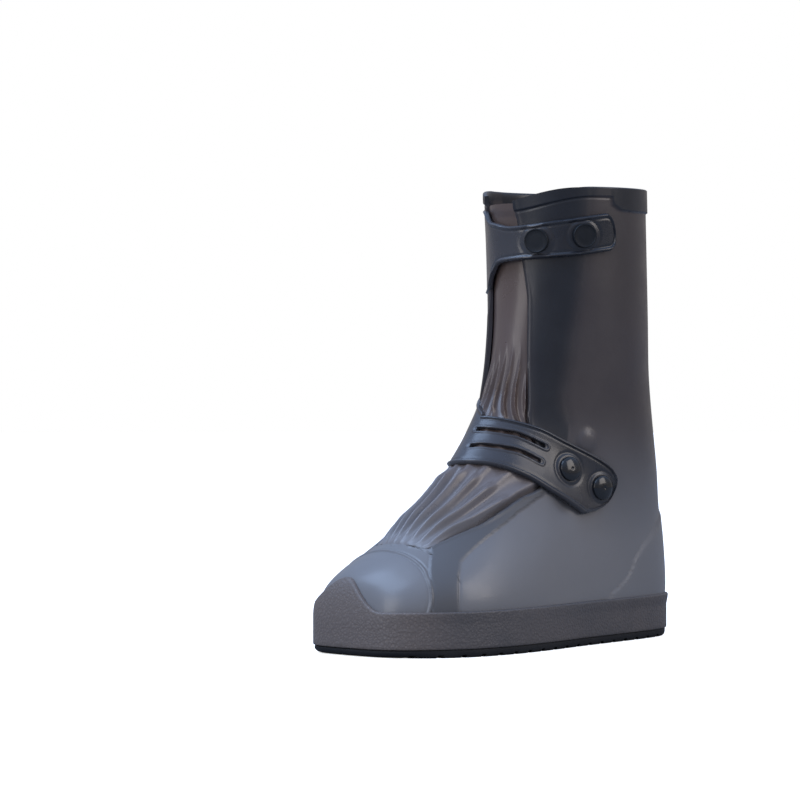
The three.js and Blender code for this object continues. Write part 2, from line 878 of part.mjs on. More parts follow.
// The rand's top edge, raised over the toe as a bumper. Its middle lies a share of its width to the inner side
// of the toe tip, and it is level over a share of its width.
const bumperShift = 0.045;
const bumperLevel = 0.015;
const bumperMiddle = rootRing[0].point.clone().add(new THREE.Vector2(-bumperShift * bumperWidth, 0));

function randTop(i) {
  const away = rootRing[i].point.distanceTo(bumperMiddle);
  const bump = 1 - smooth(away, bumperWidth * bumperLevel, bumperWidth / 2);
  return THREE.MathUtils.lerp(randHeight, bumperHeight, bump);
}

// The rand and the outsole's edge stand out from the foot, and the rand's outer corners are cut by a little.
const randOut = gap + randThickness;
const randEdge = 0.7;
const soleEdge = randOut - randEdge * 1.4;

function rand() {
  const profile = table(['up', 'grow'], [
    [0, randOut - randEdge],
    [0.1, randOut],
    [0.5, randOut],
    [0.94, randOut],
    [1, randOut - randEdge],
    [1, -randInset * 0.6],
    [0, -randInset],
  ]);
  const loops = profile.map(({ up, grow }) => rootRing.map((corner, i) => {
    return ringPoint(i, THREE.MathUtils.lerp(soleTop, randTop(i), up), grow);
  }));
  return loft([...loops, loops[0].map((p) => p.clone())]);
}

// A level loop of the foot's columns, and a stack of such loops with flat ends.
const level = (height, grow) => rootRing.map((corner, i) => ringPoint(i, height, grow));

function stack(loops) {
  const flat = (loop) => THREE.ShapeUtils.triangulateShape(loop.map((p) => new THREE.Vector2(p.x, p.y)), []);
  return loft(loops, flat(loops[0]), flat(loops[loops.length - 1]));
}

// The outsole, with the plate that closes the hole under the upper.
function outsole() {
  const plate = -soleHoleInset - gap;
  return stack([
    level(0, soleEdge),
    level(outsoleThickness, soleEdge),
    level(outsoleThickness, plate),
    level(soleTop + wall, plate),
  ]);
}

// The hole under the upper, which the outsole's plate fills.
function soleHole() {
  return stack([level(-soleTop, -soleHoleInset), level(soleTop + wall * 2, -soleHoleInset)]);
}

// Everything higher than the rand's top edge along the sides.
function aboveRand() {
  const box = new THREE.BoxGeometry(footLength * 2, footLength * 4, collarHeight * 2);
  box.translate(0, 0, randHeight + gap + collarHeight);
  return box;
}

function tread() {
  const from = new THREE.Box3().setFromPoints(rootRing.map(({ point }) => point));
  const length = from.max.y - from.min.y;
  const count = Math.round(length / groovePitch);
  const grooves = [];
  for (let i = 1; i < count; i += 1) {
    const groove = new THREE.BoxGeometry(ballWidth * 2, grooveWidth, grooveDepth * 2);
    groove.translate(0, from.min.y + (i * length) / count, 0);
    grooves.push(groove);
  }
  return grooves;
}

// Materials
function finish(colour, roughness) {
  return new THREE.MeshStandardMaterial({ color: colour, roughness, metalness: 0 });
}

const smoky = finish(0x4a484b, 0.38);
const thinSmoky = finish(0x5a4d47, 0.36);
const dark = finish(0x35363a, 0.55);
const black = finish(0x121316, 0.6);
const glossBlack = finish(0x0c0d10, 0.2);

// Assembly
const shoeCover = new THREE.Group();
shoeCover.name = 'shoe_cover';

function add(name, geometry, material, at) {
  const mesh = new THREE.Mesh(geometry, material);
  mesh.name = name;
  if (at) {
    mesh.position.copy(at.point);
    mesh.quaternion.copy(at.turn);
  }
  shoeCover.add(mesh);
}

const holes = snaps.map((snap) => solid(snapHole(snap)));
const filledMould = solid(filled(gap));

let upper = solid(moulding());
const relief = [toeCapRidge(), vampBand(bandLine), vampBand(flip(bandLine)), backTab(), heelCounter(), dome()];
const overRand = solid(aboveRand());
relief.forEach((piece) => {
  upper = upper.add(solid(piece).intersect(overRand));
});
upper = upper.subtract(solid(openingCutter())).subtract(solid(soleHole()));
upper = upper.add(solid(openingLip()));
holes.forEach((hole) => {
  upper = upper.subtract(hole);
});
add('upper', faceted(upper), smoky);

add('tongue_gusset', gusset(), thinSmoky);

let upperStrap = solid(strap(topLine, topStrapWidth, 17, 3));
let lowerStrap = solid(strap(instepLine, instepStrapWidth, 15, 4));
slotLines.forEach((rows) => {
  lowerStrap = lowerStrap.subtract(solid(slotCutter(rows)));
});
holes.forEach((hole) => {
  upperStrap = upperStrap.subtract(hole);
  lowerStrap = lowerStrap.subtract(hole);
});
add('top_strap', faceted(upperStrap), smoky);
add('instep_strap', faceted(lowerStrap), smoky);

add('rand', faceted(solid(rand()).subtract(filledMould)), dark);

let sole = solid(outsole());
tread().forEach((groove) => {
  sole = sole.subtract(solid(groove));
});
add('outsole', faceted(sole), black);

snaps.forEach((snap) => {
  add(snap.name, snapCap(), glossBlack, snap);
  add(snap.stud, snapStud(), dark, snap);
});

// The origin is on the floor, under the middle of the whole.
const bounds = new THREE.Box3().setFromObject(shoeCover);
const middle = bounds.getCenter(new THREE.Vector3());
shoeCover.position.set(-middle.x, -middle.y, -bounds.min.z);

export default shoeCover;
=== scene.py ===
"""Looks of a moulded rain shoe cover for a left foot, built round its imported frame.

The boot, gusset, straps, rand, outsole and snaps are laid on the same mould as the solids, on fine grids,
in metres, with the toe towards -Y, the outer side of the foot towards +X and the floor at zero.
"""

import math

import bmesh
import bpy
import numpy as np
from mathutils import Matrix, Vector


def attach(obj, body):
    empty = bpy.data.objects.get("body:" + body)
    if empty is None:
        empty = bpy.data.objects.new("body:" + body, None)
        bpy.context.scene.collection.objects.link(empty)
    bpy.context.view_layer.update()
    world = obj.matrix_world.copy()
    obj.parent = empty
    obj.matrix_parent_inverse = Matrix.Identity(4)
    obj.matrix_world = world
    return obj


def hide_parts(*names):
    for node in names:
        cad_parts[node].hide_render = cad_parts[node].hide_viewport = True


bl_info = {
    "name": "Rain shoe cover",
    "version": (1, 0, 0),
    "blender": (4, 5, 0),
    "location": "3D View > Sidebar > Shoe cover",
    "description": "Models a moulded rain shoe cover on its packed frame",
    "category": "Object",
}

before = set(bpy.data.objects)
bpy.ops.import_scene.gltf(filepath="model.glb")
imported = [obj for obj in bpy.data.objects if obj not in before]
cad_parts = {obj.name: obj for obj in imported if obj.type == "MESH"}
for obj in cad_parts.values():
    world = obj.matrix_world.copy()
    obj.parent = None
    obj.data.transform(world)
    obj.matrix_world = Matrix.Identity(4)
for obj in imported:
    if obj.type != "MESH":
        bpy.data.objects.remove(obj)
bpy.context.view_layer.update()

MM = 0.001

# The mould's own zero, the middle of the heel on the floor, in the part's frame.
MOULD_AT = (-5.152 * MM, 128.784 * MM)

# Slanted sections from the toe tip to the collar. The low end of each lies on the sole or up the back, the
# high end on the instep or the front. Fore is a share of the foot length, up a share of the upper's height,
# and outer, inner and shift are shares of the ball width. Widest is where along the section it is widest.
# Columns: low fore, low up, high fore, high up, outer, inner, shift, widest, low round, high round.
SECTIONS = (
    (1.0, 0.055, 1.0, 0.055, 0, 0, -0.12, 0.45, 2.3, 2.1),
    (0.996, 0.015, 0.99, 0.113, 0.244, 0.203, -0.11, 0.45, 2.6, 2.1),
    (0.965, 0.004, 0.969, 0.153, 0.376, 0.315, -0.09, 0.42, 3, 2.1),
    (0.903, 0, 0.928, 0.185, 0.472, 0.386, -0.06, 0.38, 3.4, 2.1),
    (0.812, 0, 0.874, 0.215, 0.543, 0.437, -0.02, 0.33, 3.8, 2.1),
    (0.689, 0, 0.807, 0.262, 0.563, 0.437, 0, 0.3, 4, 2),
    (0.547, 0, 0.735, 0.316, 0.523, 0.406, 0.02, 0.3, 4, 2),
    (0.379, 0, 0.669, 0.378, 0.467, 0.386, 0.02, 0.32, 4, 2),
    (0.203, 0, 0.617, 0.433, 0.437, 0.381, 0.01, 0.36, 3.8, 2),
    (0.066, 0.002, 0.58, 0.48, 0.426, 0.381, 0, 0.4, 3.2, 2),
    (0, 0.04, 0.553, 0.524, 0.426, 0.381, 0, 0.42, 2.6, 2),
    (0, 0.164, 0.532, 0.575, 0.442, 0.391, 0, 0.44, 2.3, 2),
    (0.015, 0.309, 0.513, 0.64, 0.457, 0.406, 0, 0.46, 2.1, 2),
    (0.037, 0.465, 0.499, 0.716, 0.467, 0.416, 0, 0.48, 2, 2),
    (0.054, 0.625, 0.491, 0.804, 0.482, 0.431, 0, 0.5, 2, 2),
    (0.066, 0.8, 0.491, 0.9, 0.492, 0.442, 0, 0.5, 2, 2),
    (0.077, 0.996, 0.497, 1.011, 0.503, 0.452, 0, 0.5, 2, 2),
    (0.083, 1.091, 0.501, 1.105, 0.508, 0.457, 0, 0.5, 2, 2),
)
LAST = len(SECTIONS) - 1

# Front opening: section number, then the degrees of its outer and its inner edge.
OPENING = (
    (4.3, 154, 206), (4.7, 151, 209), (5.7, 143, 217), (7.3, 134, 226), (8.3, 129, 229), (9, 136, 222),
    (9.9, 148, 210), (10.8, 152, 204), (12.2, 158, 203), (13.5, 161, 205), (14.3, 166, 208), (15.2, 170, 212),
    (15.8, 173, 214), (17, 174, 216),
)
ARCH_FOOT = 4.08
ARCH_TOP = OPENING[0][0]

# Centre lines of the straps: degrees round the mould, height as a share, and width as a share.
TOP_STRAP = (
    (230, 0.858, 2.2), (218, 0.86, 2.2), (207, 0.866, 1.95), (197, 0.87, 1.42), (187, 0.874, 1.06),
    (170, 0.875, 0.88), (135, 0.886, 0.95), (110, 0.898, 0.97), (101, 0.903, 0.97),
)
INSTEP_STRAP = (
    (238, 0.46, 1.45), (222, 0.452, 1.33), (194, 0.437, 1.12), (164, 0.434, 1), (142, 0.412, 1),
    (126, 0.376, 1.03), (110, 0.334, 1), (103, 0.305, 0.96),
)
SLOTS = (
    ((178, 0.457), (169, 0.456), (161, 0.453), (150, 0.445), (137, 0.421)),
    ((177, 0.42), (168, 0.422), (156, 0.417), (146, 0.408), (136, 0.387)),
)
TOP_SNAPS = (0.684, 0.8)
INSTEP_SNAPS = (0.731, 0.875)

# Lines on the foot, as section number and degrees: the toe cap's ridge, and both edges of the vamp band.
TOE_CAP = ((2.7, 84), (2.95, 98), (3.3, 126), (3.5, 142), (3.62, 160), (3.7, 180))
BAND_FRONT = ((2.96, 78), (3.0, 92), (3.03, 102), (3.3, 124), (3.72, 140), (4.1, 149), (4.3, 154))
BAND_BACK = (
    (3.66, 76), (3.71, 90), (3.75, 100), (3.95, 114), (4.31, 127), (4.72, 133), (5.73, 134), (7.31, 129),
    (8.47, 124.5),
)
# The doubled front of the shaft ends on this line: degrees, and height as a share.
SHAFT_SEAM = ((128, 0.48), (132, 0.535), (130, 0.61), (128, 0.687), (122, 0.822), (119, 0.935), (118, 1.0))
# Front edge of the heel counter, as degrees from the back, and height as a share.
COUNTER = (
    (74, 0.03), (76, 0.072), (81, 0.1), (84, 0.165), (79, 0.2), (64, 0.235), (52, 0.255), (34, 0.27),
    (0, 0.282),
)
# Lower edge of the back tab, as degrees from the back, and millimetres under the top of the back.
BACK_TAB = ((101, -4), (101, 8), (98, 12), (88, 14.5), (50, 14.5), (0, 14.5))
# The small dome over the instep strap: degrees, and height as a share.
DOME = (117, 0.434)
DOME_RADIUS = 7.6 * MM
DOME_SHOULDER = 6 * MM
DOME_HEIGHT = 1.7 * MM
# Soft dents: section, degrees, depth and radius in millimetres.
DENTS = (
    (8.35, 117, 1.6, 8), (9.6, 104, -0.8, 13), (10.6, 78, 0.8, 14), (12.2, 96, 0.9, 20), (7.0, 112, -0.8, 18),
    (13.4, 60, 0.9, 22), (11.6, 40, 0.8, 16),
)


def hermite(before, start, end, after, share):
    """A curve from start to end with the slopes of a uniform Catmull-Rom."""
    out = (end - before) / 2
    back = (after - start) / 2
    square = share * share
    cube = square * share
    return (
        (2 * cube - 3 * square + 1) * start
        + (cube - 2 * square + share) * out
        + (3 * square - 2 * cube) * end
        + (cube - square) * back
    )


def smooth(value, low, high):
    share = np.clip((value - low) / (high - low), 0, 1)
    return share * share * (3 - 2 * share)


def mix(start, end, share):
    return start + (end - start) * share


def curve(rows, at, keyed=True):
    """The other columns of a table where its first column is at, or where its row number is."""
    rows = np.asarray(rows, float)
    at = np.asarray(at, float)
    last = len(rows) - 1
    if keyed:
        i = np.clip(np.searchsorted(rows[:, 0], at, side="left") - 1, 0, last - 1)
        share = np.clip((at - rows[i, 0]) / (rows[i + 1, 0] - rows[i, 0]), 0, 1)
        values = rows[:, 1:]
    else:
        i = np.clip(np.floor(at).astype(int), 0, last - 1)
        share = at - i
        values = rows
    before = values[np.maximum(i - 1, 0)]
    after = values[np.minimum(i + 2, last)]
    return hermite(before, values[i], values[i + 1], after, share[..., None])


def dense(rows, count=240):
    """A line of a table as many points."""
    return curve(rows, np.linspace(0, len(rows) - 1, count), keyed=False)


def unit(vectors):
    return vectors / np.maximum(np.linalg.norm(vectors, axis=-1, keepdims=True), 1e-12)


def nearest(points, line):
    """Distance from each point to the closest point of a line."""
    flat = points.reshape(-1, 3)
    found = np.empty(len(flat))
    step = 3000
    for start in range(0, len(flat), step):
        away = flat[start:start + step, None] - line[None]
        found[start:start + step] = np.sqrt((away ** 2).sum(-1).min(-1))
    return found.reshape(points.shape[:-1])


def within(t, a, corners):
    """Whether each section number and angle lies inside a closed outline."""
    result = np.zeros(t.shape, bool)
    for (t1, a1), (t2, a2) in zip(corners, np.roll(corners, -1, axis=0)):
        if a1 == a2:
            continue
        crossed = (a1 > a) != (a2 > a)
        result ^= crossed & (t < (t2 - t1) * (a - a1) / (a2 - a1) + t1)
    return result


class Mould:
    """The shape of the foot and shaft, as sections from the toe to the collar."""

    def __init__(self, sizes):
        self.length = sizes.foot_length
        self.width = sizes.ball_width
        self.sole = sizes.outsole_thickness + sizes.gap
        self.collar = sizes.collar_height
        self.dip = sizes.collar_dip
        self.height = self.collar - self.sole
        rows = np.array(SECTIONS, float)
        tip = rows[1].copy()
        tip[[0, 1, 2, 3]] = tip[[2, 3, 0, 1]]
        tip[[4, 5]] *= -1
        self.rows = np.vstack([tip, rows, rows[-1:]])

    def section(self, t):
        t = np.clip(t, 0, LAST)
        i = np.minimum(np.floor(t).astype(int), LAST - 1)
        before, start, end, after = (self.rows[i + k] for k in range(4))
        return np.moveaxis(hermite(before, start, end, after, (t - i)[..., None]), -1, 0)

    def point(self, t, a):
        t, a = np.broadcast_arrays(np.asarray(t, float), np.asarray(a, float))
        section = self.section(t)
        low_fore, low_up, high_fore, high_up, outer, inner, shift, widest, low_round, high_round = section
        angle = np.radians(a)
        c = np.cos(angle)
        side = np.sin(angle)
        power = 2 / np.where(c > 0, low_round, high_round)
        reach = np.abs(c) ** power
        share = np.where(c > 0, widest * (1 - reach), widest + (1 - widest) * reach)
        half = np.where(side >= 0, outer, -inner) * np.abs(side) ** power
        fore = mix(low_fore, high_fore, share)
        up = mix(low_up, high_up, share)
        x = (shift + half) * self.width + MOULD_AT[0]
        y = -fore * self.length + MOULD_AT[1]
        return np.stack([x, y, self.sole + up * self.height], -1)

    def outward(self, t, a):
        step = 0.02
        t = np.maximum(t, step * 2)
        along = self.point(t + step, a) - self.point(t - step, a)
        across = self.point(t, a + step * 30) - self.point(t, a - step * 30)
        return unit(np.cross(along, across))

    def skin(self, t, a, lift):
        """Points lifted off the mould along its normal."""
        t, a, lift = np.broadcast_arrays(np.asarray(t, float), np.asarray(a, float), np.asarray(lift, float))
        points = self.point(t, a) + self.outward(t, a) * lift[..., None]
        at_tip = t == 0
        points[at_tip] = self.point(t[at_tip], a[at_tip] * 0) - np.stack(
            [0 * lift[at_tip], lift[at_tip], 0 * lift[at_tip]], -1)
        return points

    def number(self, height, a):
        """The section number where the mould has a height."""
        height, a = np.broadcast_arrays(np.asarray(height, float), np.asarray(a, float))
        low = np.full(height.shape, 2.5)
        high = np.full(height.shape, float(LAST))
        for _ in range(24):
            middle = (low + high) / 2
            under = self.point(middle, a)[..., 2] < height
            low = np.where(under, middle, low)
            high = np.where(under, high, middle)
        return (low + high) / 2

    def at_share(self, a, share):
        return self.number(self.sole + np.asarray(share, float) * self.height, a)

    def rim(self, a):
        """Height of the collar's edge, lower at the front."""
        away = np.minimum(np.abs(np.mod(a, 360) - 180) / 65, 1)
        return self.collar - self.dip * (1 + np.cos(away * math.pi)) / 2

    def edges(self, t):
        """Degrees of the outer and inner edges of the front opening. Under the opening both are 180."""
        t = np.asarray(t, float)
        found = curve(OPENING, t)
        top = np.array(OPENING[0][1:], float)
        way = np.clip((ARCH_TOP - t) / (ARCH_TOP - ARCH_FOOT), 0, 1)
        arch = 180 + (top - 180) * np.sqrt(1 - way ** 2)[..., None]
        return np.where((t < ARCH_TOP)[..., None], arch, found)


class Ribbon:
    """A band along a line on the mould, by its share of the line and metres to its side."""

    def __init__(self, mould, rows, width):
        self.mould = mould
        self.rows = np.array(rows, float)
        if self.rows.shape[1] == 2:
            self.rows = np.column_stack([self.rows, np.ones(len(self.rows))])
        self.width = width
        line = self.centre(np.linspace(0, 1, 80))
        self.length = np.linalg.norm(np.diff(line, axis=0), axis=1).sum()

    def at(self, s):
        return curve(self.rows, np.asarray(s, float) * (len(self.rows) - 1), keyed=False)

    def centre(self, s):
        around, share, _ = np.moveaxis(self.at(s), -1, 0)
        return self.mould.point(self.mould.at_share(around, share), around)

    def half(self, s):
        return self.at(s)[..., 2] * self.width / 2

    def spot(self, s, side):
        """Section number and degrees of points at shares s, set off sideways by metres."""
        mould = self.mould
        around, share, _ = np.moveaxis(self.at(s), -1, 0)
        ahead = self.at(np.minimum(s + 0.01, 1))
        behind = self.at(np.maximum(s - 0.01, 0))
        here = mould.point(mould.at_share(around, share), around)
        du = (mould.point(mould.at_share(around + 0.5, share), around + 0.5) - here) * 2
        dv = (mould.point(mould.at_share(around, share + 0.004), around) - here) * 250
        step = ahead - behind
        along = du * step[..., :1] + dv * step[..., 1:2]
        normal = mould.outward(mould.at_share(around, share), around)
        across = unit(np.cross(normal, along)) * np.asarray(side)[..., None]
        uu, uv, vv = (du * du).sum(-1), (du * dv).sum(-1), (dv * dv).sum(-1)
        cu, cv = (across * du).sum(-1), (across * dv).sum(-1)
        whole = uu * vv - uv * uv
        a = around + (cu * vv - cv * uv) / whole
        return mould.at_share(a, share + (cv * uu - cu * uv) / whole), a


def lay_grid(bm, points):
    """A grid of vertices moved onto an array of points, returned row by row."""
    rows, columns = points.shape[:2]
    made = bmesh.ops.create_grid(bm, x_segments=columns - 1, y_segments=rows - 1, size=1)["verts"]
    laid = [[None] * columns for _ in range(rows)]
    for vert in made:
        row = round((vert.co.y + 1) / 2 * (rows - 1))
        column = round((vert.co.x + 1) / 2 * (columns - 1))
        laid[row][column] = vert
    for row, line in zip(laid, points.tolist()):
        for vert, place in zip(row, line):
            vert.co = place
    return laid


def edges_along(chain):
    """The edges between neighbours in a chain of vertices."""
    found = []
    for start, end in zip(chain, chain[1:]):
        found += [edge for edge in start.link_edges if edge.other_vert(start) is end]
    return found


def weigh(bm, name, laid, values):
    """Writes an array onto the vertices of a laid grid as an attribute."""
    layer = bm.verts.layers.float[name]
    for row, line in zip(laid, np.asarray(values).tolist()):
        for vert, value in zip(row, line):
            vert[layer] = value


def as_piece(bm, name, material, nodes, recalc=True, sharp=48):
    """Makes the bmesh an object that rides on the frame and stands for its CAD nodes."""
    bmesh.ops.remove_doubles(bm, verts=bm.verts, dist=2e-6)
    loose = [vert for vert in bm.verts if not vert.link_faces]
    bmesh.ops.delete(bm, geom=loose, context="VERTS")
    if recalc:
        bmesh.ops.recalc_face_normals(bm, faces=bm.faces)
    mesh = bpy.data.meshes.new(name)
    bm.to_mesh(mesh)
    bm.free()
    mesh.shade_smooth()
    mesh.set_sharp_from_angle(angle=math.radians(sharp))
    mesh.materials.append(material)
    piece = bpy.data.objects.new(name, mesh)
    bpy.context.scene.collection.objects.link(piece)
    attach(piece, "root")
    if nodes:
        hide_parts(*nodes)
    return piece


def cut(piece, bm):
    """Takes a cutter's volume out of a piece."""
    mesh = bpy.data.meshes.new("cutter")
    bmesh.ops.remove_doubles(bm, verts=bm.verts, dist=2e-6)
    bmesh.ops.recalc_face_normals(bm, faces=bm.faces)
    bm.to_mesh(mesh)
    bm.free()
    cutter = bpy.data.objects.new("cutter", mesh)
    bpy.context.scene.collection.objects.link(cutter)
    modifier = piece.modifiers.new("Cut", "BOOLEAN")
    modifier.operation = "DIFFERENCE"
    modifier.solver = "EXACT"
    modifier.object = cutter
    seen = piece.evaluated_get(bpy.context.evaluated_depsgraph_get())
    done = bpy.data.meshes.new_from_object(seen)
    piece.modifiers.clear()
    piece.data = done
    piece.data.name = piece.name
    bpy.data.objects.remove(cutter)


def closed_band(bm, points):
    """A tube from rings of points whose first and last columns meet, with its ends filled."""
    laid = lay_grid(bm, points)
    bmesh.ops.remove_doubles(bm, verts=bm.verts, dist=2e-6)
    rim = [edge for edge in bm.edges if edge.is_boundary]
    if rim:
        bmesh.ops.holes_fill(bm, edges=rim, sides=0)
    return laid


# Materials

def node(tree, kind, links=None, **values):
    """A shader node with its properties, its input values and its input links set."""
    made = tree.nodes.new(kind)
    for name, value in values.items():
        setattr(made, name, value)
    for name, value in (links or {}).items():
        if isinstance(value, bpy.types.NodeSocket):
            tree.links.new(value, made.inputs[name])
        else:
            made.inputs[name].default_value = value
    return made


def mixed(tree, share, start, end, blend="MIX"):
    """A colour between two others."""
    made = node(tree, "ShaderNodeMix", data_type="RGBA", blend_type=blend)
    for index, value in ((0, share), (6, start), (7, end)):
        if isinstance(value, bpy.types.NodeSocket):
            tree.links.new(value, made.inputs[index])
        else:
            made.inputs[index].default_value = value
    return made.outputs[2]


def ranged(tree, value, low, high, to_low=0.0, to_high=1.0):
    return node(tree, "ShaderNodeMapRange", {
        "Value": value, "From Min": low, "From Max": high, "To Min": to_low, "To Max": to_high,
    }, interpolation_type="SMOOTHSTEP").outputs["Result"]


def fresh(name):
    material = bpy.data.materials.new(name)
    material.use_nodes = True
    tree = material.node_tree
    tree.nodes.clear()
    place = node(tree, "ShaderNodeTexCoord").outputs["Object"]
    return material, tree, place


def noise(tree, place, scale, detail=3.0, rough=0.5):
    return node(tree, "ShaderNodeTexNoise", {
        "Vector": place, "Scale": scale, "Detail": detail, "Roughness": rough,
    }).outputs["Fac"]


def finish_material(tree, links, heights):
    """Ends a material in one Principled shader, with its bumps chained in order of size."""
    normal = None
    for height, strength, distance in heights:
        inputs = {"Height": height, "Strength": strength, "Distance": distance}
        if normal is not None:
            inputs["Normal"] = normal
        normal = node(tree, "ShaderNodeBump", inputs).outputs["Normal"]
    if normal is not None:
        links["Normal"] = normal
    shader = node(tree, "ShaderNodeBsdfPrincipled", links)
    node(tree, "ShaderNodeOutputMaterial", {"Surface": shader.outputs["BSDF"]})


def translucent_plastic(name, clear, deep, foot, see_through, rough, outer=0.0):
    """Smoky moulded plastic, darker where it is doubled, with painted shade on its outer side and painted light
    that makes it paler low on the foot.
    """
    material, tree, place = fresh(name)
    attribute = node(tree, "ShaderNodeAttribute", attribute_name="doubled").outputs["Fac"]
    at = node(tree, "ShaderNodeSeparateXYZ", {"Vector": place}).outputs
    # Painted shade: by its X, the outer side is darkened towards the deep colour, by the share given as outer.
    turned = ranged(tree, at["X"], 0.002, 0.034, 0.0, outer)
    # Real doubled layers and the painted shade on the outer side darken alike.
    doubled = node(tree, "ShaderNodeMath", {0: attribute, 1: turned}, operation="MAXIMUM").outputs["Value"]
    # Painted light: the plastic turns paler low on the foot, as if lit from the floor, and so does its doubled
    # colour.
    low = ranged(tree, at["Z"], 0.055, 0.15, 1.0, 0.0)
    cloud = noise(tree, place, 14.0, 2.0, 0.45)
    mottled = mixed(tree, ranged(tree, cloud, 0.3, 0.7, 0.0, 1.0), clear, [c * 0.82 for c in clear[:3]] + [1])
    lit_from_floor = mixed(tree, low, mottled, foot)
    doubled_lit_from_floor = mixed(tree, low, deep, [c * 0.55 for c in foot[:3]] + [1])
    colour = mixed(tree, doubled, lit_from_floor, doubled_lit_from_floor)
    smudge = noise(tree, place, 55.0, 4.0, 0.6)
    roughness = ranged(tree, smudge, 0.25, 0.75, rough - 0.05, rough + 0.09)
    grain = noise(tree, place, 900.0, 2.0, 0.5)
    wave = noise(tree, place, 38.0, 2.0, 0.4)
    finish_material(tree, {
        "Base Color": colour,
        "Roughness": roughness,
        "IOR": 1.47,
        "Transmission Weight": see_through,
        "Coat Weight": 0.14,
        "Coat Roughness": 0.14,
    }, ((wave, 0.25, 0.0012), (grain, 0.18, 0.00012)))
    return material


def leather_grain(name, colour, pale_tone, rough):
    """Dark matt plastic with a fine leather grain."""
    material, tree, place = fresh(name)
    cells = node(tree, "ShaderNodeTexVoronoi", {"Vector": place, "Scale": 620.0}).outputs["Distance"]
    stretched = node(tree, "ShaderNodeMapping", {"Vector": place, "Scale": (1.0, 1.0, 1.7)}).outputs["Vector"]
    pores = noise(tree, stretched, 1150.0, 4.0, 0.65)
    cloud = noise(tree, place, 30.0, 3.0, 0.5)
    front = node(tree, "ShaderNodeSeparateXYZ", {"Vector": place}).outputs["Y"]
    # Paler brown towards the toe front, and in random clouds.
    toned = mixed(tree, ranged(tree, front, -0.126, -0.085, 1.0, 0.0), colour, pale_tone)
    base = mixed(tree, ranged(tree, cloud, 0.3, 0.7, 0.0, 0.3), toned, pale_tone)
    shaded = mixed(tree, ranged(tree, cells, 0.05, 0.5, 0.0, 0.35), base, [c * 0.6 for c in colour[:3]] + [1])
    finish_material(tree, {
        "Base Color": shaded,
        "Roughness": ranged(tree, pores, 0.3, 0.7, rough - 0.08, rough + 0.08),
        "IOR": 1.5,
        "Coat Weight": 0.08,
        "Coat Roughness": 0.35,
    }, ((cells, 0.55, 0.0005), (pores, 0.35, 0.0003)))
    return material


def rubber(name, colour, rough):
    material, tree, place = fresh(name)
    speck = noise(tree, place, 700.0, 5.0, 0.7)
    dust = noise(tree, place, 26.0, 4.0, 0.6)
    base = mixed(tree, ranged(tree, dust, 0.45, 0.75, 0.0, 0.5), colour, (0.022, 0.022, 0.024, 1))
    finish_material(tree, {
        "Base Color": base,
        "IOR": 1.35,
        "Roughness": ranged(tree, speck, 0.3, 0.7, rough - 0.1, rough + 0.1),
    }, ((speck, 0.5, 0.0004),))
    return material


def gloss(name, colour, rough, coat):
    """Hard plastic of the snaps, with faint swirls."""
    material, tree, place = fresh(name)
    scuff = noise(tree, place, 240.0, 4.0, 0.6)
    tone = mixed(tree, ranged(tree, scuff, 0.4, 0.7, 0.0, 0.4), colour, (0.012, 0.014, 0.018, 1))
    finish_material(tree, {
        "Base Color": tone,
        "Roughness": ranged(tree, scuff, 0.3, 0.75, rough, rough + 0.12),
        "IOR": 1.35,
        "Coat Weight": coat,
        "Coat Roughness": 0.06,
    }, ((scuff, 0.06, 0.0002),))
    return material


def plain(name, colour, rough, shine):
    """Matt paper, whose own shine only the camera meets."""
    material, tree, place = fresh(name)
    tone = noise(tree, place, 1.5, 2.0, 0.5)
    base = mixed(tree, ranged(tree, tone, 0.3, 0.7), colour, [c * 0.985 for c in colour[:3]] + [1])
    seen = node(tree, "ShaderNodeLightPath").outputs["Is Camera Ray"]
    finish_material(tree, {
        "Base Color": mixed(tree, seen, [c * 0.3 for c in colour[:3]] + [1], base),
        "Roughness": rough,
        "Emission Color": (1, 1, 1, 1),
        "Emission Strength": ranged(tree, seen, 0.0, 1.0, 0.0, shine),
    }, ())
    return material


# Sizes and colours

def length(name, description, default):
    return bpy.props.FloatProperty(
        name=name, description=description, default=default, unit="LENGTH", precision=4)


def colour(name, description, default):
    return bpy.props.FloatVectorProperty(
        name=name, description=description, default=default, size=4, min=0, max=1, subtype="COLOR")


